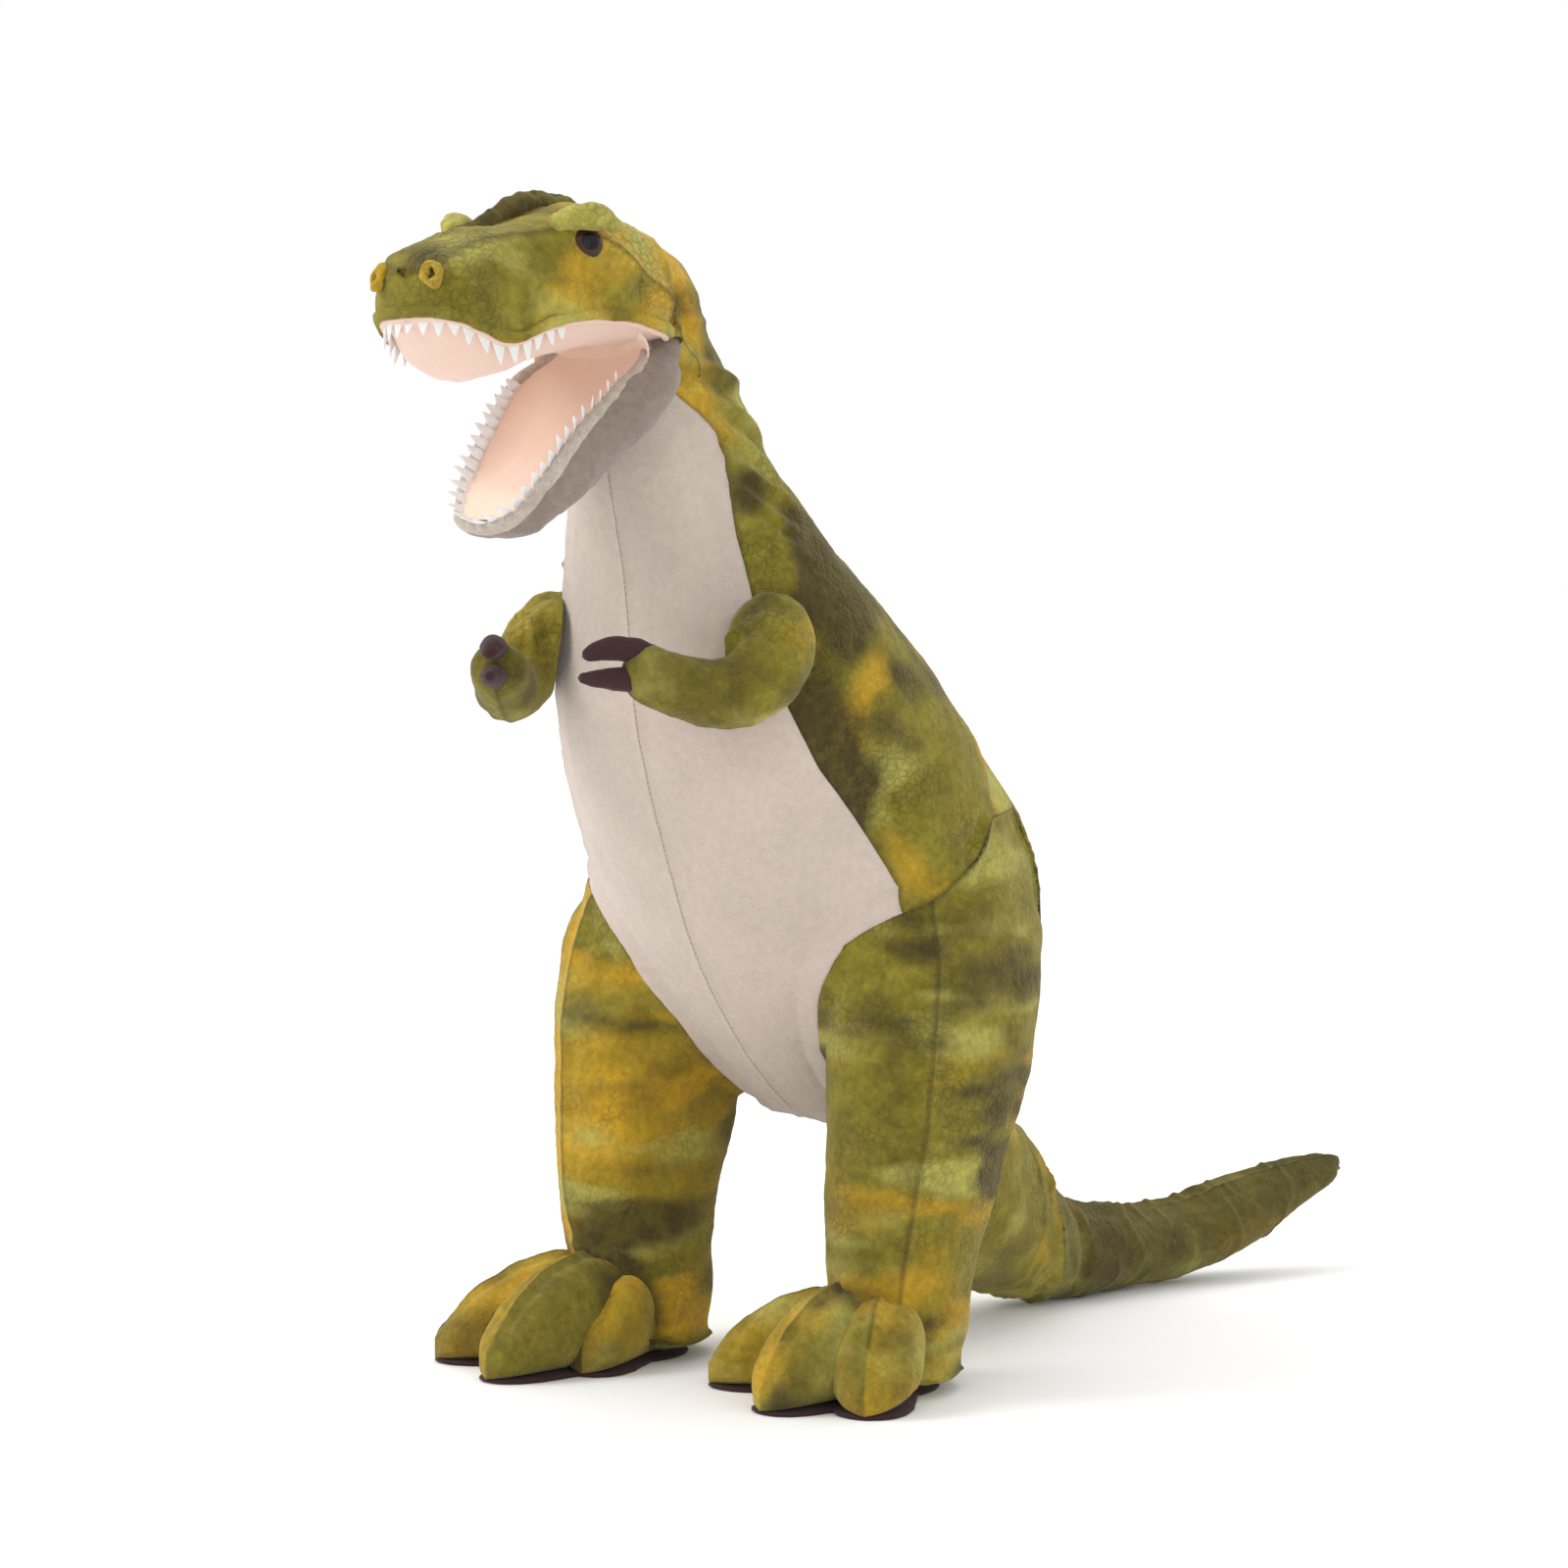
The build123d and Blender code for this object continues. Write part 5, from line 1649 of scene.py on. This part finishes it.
class Shader:
    """A node tree that is built by short calls."""

    def __init__(self, name):
        self.material = bpy.data.materials.new(name)
        self.material.use_nodes = True
        self.nodes = self.material.node_tree.nodes
        self.links = self.material.node_tree.links
        self.surface = self.nodes["Principled BSDF"]

    def put(self, socket, value):
        """Sets an input to a value or links it to another node's output."""
        if isinstance(value, bpy.types.NodeSocket):
            self.links.new(value, socket)
        elif isinstance(value, tuple) and len(value) == 3 and socket.type == "RGBA":
            socket.default_value = (*value, 1)
        else:
            socket.default_value = value

    def value(self, name, vector=False):
        """The piece's own attribute."""
        node = self.nodes.new("ShaderNodeAttribute")
        node.attribute_name = name
        return node.outputs["Vector" if vector else "Fac"]

    def noise(self, place, scale, detail, rough=0.5):
        """Smooth random values between zero and one."""
        node = self.nodes.new("ShaderNodeTexNoise")
        self.put(node.inputs["Vector"], place)
        node.inputs["Scale"].default_value = scale
        node.inputs["Detail"].default_value = detail
        node.inputs["Roughness"].default_value = rough
        return node.outputs["Fac"]

    def cells(self, place, scale):
        """Distance to the border of irregular cells."""
        node = self.nodes.new("ShaderNodeTexVoronoi")
        node.feature = "DISTANCE_TO_EDGE"
        self.put(node.inputs["Vector"], place)
        node.inputs["Scale"].default_value = scale
        return node.outputs["Distance"]

    def math(self, kind, a, b):
        """Two numbers put together."""
        node = self.nodes.new("ShaderNodeMath")
        node.operation = kind
        for socket, value in zip(node.inputs, (a, b)):
            self.put(socket, value)
        return node.outputs[0]

    def grey(self, value):
        """A number as a grey colour."""
        node = self.nodes.new("ShaderNodeCombineColor")
        for socket in node.inputs:
            self.put(socket, value)
        return node.outputs[0]

    def remap(self, value, low, high, to_low=0.0, to_high=1.0):
        """A number moved from one range to another, and held inside it."""
        node = self.nodes.new("ShaderNodeMapRange")
        self.put(node.inputs["Value"], value)
        for key, number in zip(("From Min", "From Max", "To Min", "To Max"), (low, high, to_low, to_high)):
            node.inputs[key].default_value = number
        return node.outputs["Result"]

    def mix(self, share, a, b, kind="MIX"):
        """Two colours mixed: a where share is zero and b where it is one."""
        node = self.nodes.new("ShaderNodeMix")
        node.data_type = "RGBA"
        node.blend_type = kind
        node.clamp_factor = True
        self.put(node.inputs[0], share)
        self.put(node.inputs[6], a)
        self.put(node.inputs[7], b)
        return node.outputs[2]

    def bump(self, height, distance, strength, below=None):
        """A normal bent by a height, on top of the normal below."""
        node = self.nodes.new("ShaderNodeBump")
        node.inputs["Strength"].default_value = strength
        node.inputs["Distance"].default_value = distance
        self.put(node.inputs["Height"], height)
        if below is not None:
            self.put(node.inputs["Normal"], below)
        return node.outputs["Normal"]

    def finish(self, **sockets):
        """The material, with these inputs of its shader set."""
        for key, value in sockets.items():
            self.put(self.surface.inputs[key.replace("_", " ")], value)
        return self.material


def pile(shader, place, colour, depth, spread):
    """Short pile: (colour with fine variation, normal)."""
    hair = shader.noise(place, 1.25, 3.0, 0.65)
    tuft = shader.noise(place, 0.33, 2.0)
    tone = shader.remap(shader.math("ADD", hair, tuft), 0.7, 1.3, 1 - spread, 1 + spread)
    shade = shader.mix(1.0, colour, shader.grey(tone), "MULTIPLY")
    normal = shader.bump(hair, depth, 0.9)
    return shade, normal


def green_plush(name, scales=1.0, base=OLIVE):
    """Printed plush: olive with gold, pale and dark dye, scale lines and a short pile, with painted shade
    along the seams and in the scale lines.
    """
    s = Shader(name)
    place = s.value("rest", vector=True)
    rag = s.remap(s.noise(place, 0.12, 4.0, 0.6), 0.3, 0.7, -0.22, 0.22)

    def dyed(key):
        return s.remap(s.math("ADD", s.value(key), rag), 0.05, 1.0)
    fleck = s.noise(place, 0.09, 3.0, 0.6)
    colour = s.mix(s.remap(fleck, 0.35, 0.7), base, tuple(1.55 * c for c in base))
    colour = s.mix(dyed("gold"), colour, GOLD)
    colour = s.mix(dyed("pale"), colour, PALE)
    colour = s.mix(dyed("dark"), colour, DARK)
    lines = s.remap(s.cells(place, 0.30), 0.0, 0.16, 1.0, 0.0)
    patchy = s.remap(s.noise(place, 0.035, 2.0), 0.42, 0.62)
    lines = s.math("MULTIPLY", lines, patchy)
    # Darker along the scale lines: painted shade in their embossed grooves, beside the bump below.
    colour = s.mix(s.math("MULTIPLY", lines, 0.22 * scales), colour, DARK)
    # Darker close to a seam: painted shade in the sewn groove.
    seam_shade = s.remap(s.value("edge"), 0.0, 1.6, 0.55, 0.0)
    colour = s.mix(seam_shade, colour, tuple(0.5 * c for c in DARK))
    colour, normal = pile(s, place, colour, 0.0004, 0.22)
    normal = s.bump(s.math("MULTIPLY", lines, -1.0), 0.0005 * scales, 0.8, normal)
    return s.finish(Base_Color=colour, Normal=normal, Roughness=0.92, Sheen_Weight=0.30,
                    Sheen_Roughness=0.45, Sheen_Tint=(0.75, 0.68, 0.40), Specular_IOR_Level=0.18)


def plain_plush(name, colour, depth=0.0003, spread=0.07):
    """Plain short plush with slight mottling and painted shade along the seams."""
    s = Shader(name)
    place = s.value("rest", vector=True)
    wide = s.remap(s.noise(place, 0.03, 3.0), 0.3, 0.7)
    shade = s.mix(wide, colour, tuple(0.90 * c for c in colour))
    # Darker close to a seam: painted shade in the sewn groove.
    seam_shade = s.remap(s.value("edge"), 0.0, 0.9, 0.2, 0.0)
    shade = s.mix(seam_shade, shade, tuple(0.45 * c for c in colour))
    shade, normal = pile(s, place, shade, depth, spread)
    return s.finish(Base_Color=shade, Normal=normal, Roughness=0.95, Sheen_Weight=0.35,
                    Sheen_Roughness=0.5, Specular_IOR_Level=0.12)


def knit(name, colour):
    """The smooth knitted lining of the mouth."""
    s = Shader(name)
    place = s.value("rest", vector=True)
    yarn = s.noise(place, 2.2, 1.0)
    shade = s.mix(s.remap(yarn, 0.35, 0.65), tuple(0.95 * c for c in colour), colour)
    normal = s.bump(yarn, 0.0001, 0.5)
    return s.finish(Base_Color=shade, Normal=normal, Roughness=0.85, Sheen_Weight=0.3,
                    Sheen_Roughness=0.5, Specular_IOR_Level=0.15, Subsurface_Weight=0.08,
                    Subsurface_Scale=0.004)


def felt(name, colour):
    """Pressed felt or suede cloth."""
    s = Shader(name)
    place = s.value("rest", vector=True)
    fibre = s.noise(place, 1.8, 4.0, 0.7)
    dim, bright = (tuple(tone * c for c in colour) for tone in (0.84, 1.1))
    shade = s.mix(s.remap(fibre, 0.3, 0.7), dim, bright)
    return s.finish(Base_Color=shade, Normal=s.bump(fibre, 0.0002, 0.8), Roughness=0.94,
                    Sheen_Weight=0.12, Sheen_Roughness=0.5, Specular_IOR_Level=0.15)


def eye_plastic(name):
    """A glossy safety eye: black pupil in a very dark brown ring."""
    s = Shader(name)
    radius = s.value("radius")
    iris = s.remap(radius, 3.1, 3.5)
    rim = s.remap(radius, 5.0, 5.4)
    colour = s.mix(iris, (0.002, 0.002, 0.002), (0.045, 0.016, 0.008))
    colour = s.mix(rim, colour, (0.010, 0.006, 0.005))
    return s.finish(Base_Color=colour, Roughness=0.05, Specular_IOR_Level=0.28)


def thread(name, colour):
    """Plain sewing thread."""
    s = Shader(name)
    return s.finish(Base_Color=colour, Roughness=0.7, Specular_IOR_Level=0.3)


# ------------------------------------------------------------------ putting it together
# Pairs of bodies, each with two places in millimetres, for cloth that runs from one body to the other.
NECK = ("torso", "head", (0, -24, 345), (0, -24, 395))
CREASE = ("torso", "tail", tail_at + np.array([0, -20, 0]), tail_at + np.array([0, 4, 0]))
THROAT = ("jaw", "head", mouth_at + 16 * jaw_along, mouth_at + np.array([0, -14, 6]))


def add(name, patch, material, body, stands_for=(), thickness=0.0):
    """A piece attached to its body, or only baked in place where it spans a pair of bodies; the CAD nodes
    it stands for are hidden.
    """
    piece = mesh_object(name, patch, material, thickness)
    if isinstance(body, str):
        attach(piece, body)
    else:
        first, second, start, end = body
        metres(start)
        metres(end)
        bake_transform(piece)
    if stands_for:
        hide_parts(*stands_for)


def build_body(green, cream):
    """The cloth of the trunk and its stitches."""
    panels = trunk_panels()
    for side_name in SIDES:
        belly, flank, face = (panels[f"{part}_cloth_{side_name}"] for part in ("belly", "flank", "face"))
        add(f"belly_cloth_{side_name}", belly, cream, NECK,
            [f"belly_panel_{side_name}"], thickness=CLOTH)
        add(f"flank_cloth_{side_name}", flank, green, NECK,
            [f"flank_panel_{side_name}", f"crown_panel_{side_name}"], thickness=CLOTH)
        middle = ["snout_panel", "head_filling"] if side_name == "left" else []
        add(f"face_cloth_{side_name}", face, green, "head",
            [f"cheek_panel_{side_name}", *middle, f"eye_washer_{side_name}"], thickness=CLOTH)
    front = merged([panels["belly_cloth_left"], panels["belly_cloth_right"]])
    add("belly_seam_stitches", belly_stitches(front), thread("cream_thread", (0.42, 0.35, 0.3)), NECK)


def build_legs(green, toe_green, suede):
    """Legs, toes and soles."""
    for side_name in SIDES:
        panels = leg_panels(side_name)
        for part, inside in (("outer", "leg_filling"), ("inner", "foot_pellets")):
            name = f"leg_{part}_cloth_{side_name}"
            add(name, panels[name], green, "torso",
                [f"leg_{part}_panel_{side_name}", f"{inside}_{side_name}"], CLOTH)
        for toe in TOES:
            add(f"toe_{toe}_cloth_{side_name}", toe_cloth(toe, side_name), toe_green, "torso",
                [f"toe_{toe}_{side_name}"])
        add(f"sole_cloth_{side_name}", sole_cloth(side_name), suede, "torso",
            [f"foot_sole_{side_name}"])


def build_tail(green, tail_green):
    """The tail's base and the part behind the crease."""
    panels = tail_panels()
    add("tail_base_cloth", panels["tail_base_cloth"], green, "torso",
        ["tail_base_cover", "tail_base_filling", "torso_filling"], CLOTH)
    for name, node in (("tail_cloth_left", "tail_side_left"), ("tail_cloth_right", "tail_side_right"),
                       ("tail_ridge_cloth", "tail_filling")):
        add(name, panels[name], tail_green, CREASE, [node], CLOTH)


def build_arms(green, suede):
    """Both arms and their claws."""
    for side_name in SIDES:
        body = f"arm_{side_name}"
        add(f"arm_cloth_{side_name}", arm_cloth(side_name), green, body,
            [f"arm_cover_{side_name}", f"arm_filling_{side_name}"], THIN_CLOTH)
        for claw in CLAW_LINES:
            add(f"claw_{claw}_cloth_{side_name}", claw_cloth(claw, side_name), suede, body,
                [f"claw_{claw}_{side_name}"])


def build_head(green, crest_green, pink, white, plastic):
    """Everything on the head beyond its main cloth."""
    add("lip_band_cloth", lip_band(), green, "head", ["upper_lip_band"])
    # The pink here is the roof lining, darkened as painted shade.
    add("lip_piping", lip_piping(), pink, "head")
    add("palate_cloth", palate(), pink, "head", ["palate_panel"], THIN_CLOTH)
    add("upper_teeth_felt", upper_teeth(), white, "head", ["upper_teeth_strip"])
    add("crest_roll", crest_roll(), crest_green, "head", ["crest_ridge"])
    for side_name in SIDES:
        add(f"eye_dome_{side_name}", eye_ball(side_name), plastic, "head",
            [f"eye_{side_name}"])
        add(f"brow_roll_{side_name}", brow_roll(side_name), green, "head",
            [f"brow_{side_name}"])
        add(f"nostril_roll_{side_name}", nostril_ring(side_name), green, "head",
            [f"nostril_{side_name}"])


def build_jaw(grey_plush, rim_plush, pink, white):
    """The lower jaw and the lining that joins it to the head."""
    add("jaw_cloth", jaw_outer(), grey_plush, "jaw", ["jaw_cover", "jaw_filling"],
        JAW_CLOTH)
    add("jaw_rim_roll", jaw_rim_roll(), rim_plush, "jaw", ["jaw_rim"])
    add("jaw_lining_cloth", jaw_lining(), pink, "jaw", ["jaw_lining"], THIN_CLOTH)
    add("lower_teeth_felt", lower_teeth(), white, "jaw", ["lower_teeth_strip"])
    add("throat_cloth", throat(), pink, THROAT, thickness=THIN_CLOTH)


FLOOR_HALF = 30.0       # metres from the middle of the floor to its edges
LAMP_TARGET = Vector((0, -0.05, 0.22))
# (name, place, size, power, colour), in metres and watts
LIGHTS = [
    ("key", (-1.1, -1.2, 1.7), (0.9, 0.9), 18.0, (1.0, 0.98, 0.95)),
    ("fill", (1.9, -1.0, 0.9), (1.2, 1.4), 2.0, (1.0, 1.0, 1.0)),
    ("top", (-0.2, 0.5, 2.0), (1.2, 1.2), 8.0, (1.0, 1.0, 1.0)),
]
# Where the camera stands and what it looks at, in millimetres, and its lens.
CAMERA_AT = (948.6, -1162.4, 320.0)
CAMERA_AIM = (25.1, 19.6, 239.0)
CAMERA_LENS = 87.86


def turned_to(place, target):
    """The rotation that points a lamp or camera at place to the target."""
    return (target - Vector(place)).to_track_quat("-Z", "Y").to_euler()


def build_room():
    """Floor, soft studio light and the camera."""
    scene = bpy.context.scene
    floor_mesh = bpy.data.meshes.new("floor")
    corners = [(x * FLOOR_HALF, y * FLOOR_HALF, 0) for x, y in ((-1, -1), (1, -1), (1, 1), (-1, 1))]
    floor_mesh.from_pydata(corners, [], [(0, 1, 2, 3)])
    floor = bpy.data.objects.new("floor", floor_mesh)
    scene.collection.objects.link(floor)
    s = Shader("floor_paper")
    far = s.nodes.new("ShaderNodeVectorMath")
    far.operation = "LENGTH"
    s.put(far.inputs[0], s.nodes.new("ShaderNodeNewGeometry").outputs["Position"])
    # The floor glows more the farther it lies from the middle: painted light that whitens the far floor
    # and the horizon.
    glow = s.remap(far.outputs["Value"], 0.35, 1.2, 0.02, 0.12)
    paper = s.finish(Base_Color=(0.93, 0.93, 0.935), Roughness=0.9, Specular_IOR_Level=0.1,
                     Emission_Color=(1.0, 1.0, 1.0, 1.0), Emission_Strength=glow)
    floor_mesh.materials.append(paper)
    for name, place, size, power, colour in LIGHTS:
        lamp = bpy.data.lights.new(name, "AREA")
        lamp.shape = "RECTANGLE"
        lamp.size, lamp.size_y = size
        lamp.energy = power
        lamp.color = colour
        holder = bpy.data.objects.new(name, lamp)
        holder.location = place
        holder.rotation_euler = turned_to(place, LAMP_TARGET)
        scene.collection.objects.link(holder)
    world = bpy.data.worlds.new("studio")
    world.use_nodes = True
    background = world.node_tree.nodes["Background"]
    background.inputs["Color"].default_value = (1.0, 1.0, 1.0, 1)
    background.inputs["Strength"].default_value = 1.0
    scene.world = world
    lens = bpy.data.cameras.new("camera")
    lens.lens = CAMERA_LENS
    camera = bpy.data.objects.new("camera", lens)
    camera.location = metres(CAMERA_AT)
    camera.rotation_euler = turned_to(metres(CAMERA_AT), Vector(metres(CAMERA_AIM)))
    scene.collection.objects.link(camera)
    scene.camera = camera
    scene.view_settings.view_transform = "Standard"


green = green_plush("green_plush_cloth")
cream = plain_plush("cream_plush_cloth", CREAM)
grey_plush = plain_plush("jaw_plush_cloth", SHADED_JAW_GREY, 0.0005, 0.16)
rim_plush = plain_plush("rim_plush_cloth", RIM, 0.0008, 0.2)
pink = knit("mouth_lining", PINK)
shaded_roof_pink = knit("shaded_roof_lining", SHADED_ROOF_PINK)
white = felt("tooth_felt", FELT_WHITE)
suede = felt("claw_suede", SUEDE)
toe_green = green_plush("toe_plush_cloth", 0.35)
tail_green = green_plush("tail_plush_cloth", 0.5, (0.110, 0.100, 0.022))
crest_green = green_plush("crest_plush_cloth", 0.2, (0.085, 0.075, 0.020))
build_body(green, cream)
build_legs(green, toe_green, suede)
build_tail(green, tail_green)
build_arms(green, suede)
build_head(green, crest_green, shaded_roof_pink, white, eye_plastic("eye_plastic"))
build_jaw(grey_plush, rim_plush, pink, white)
build_room()
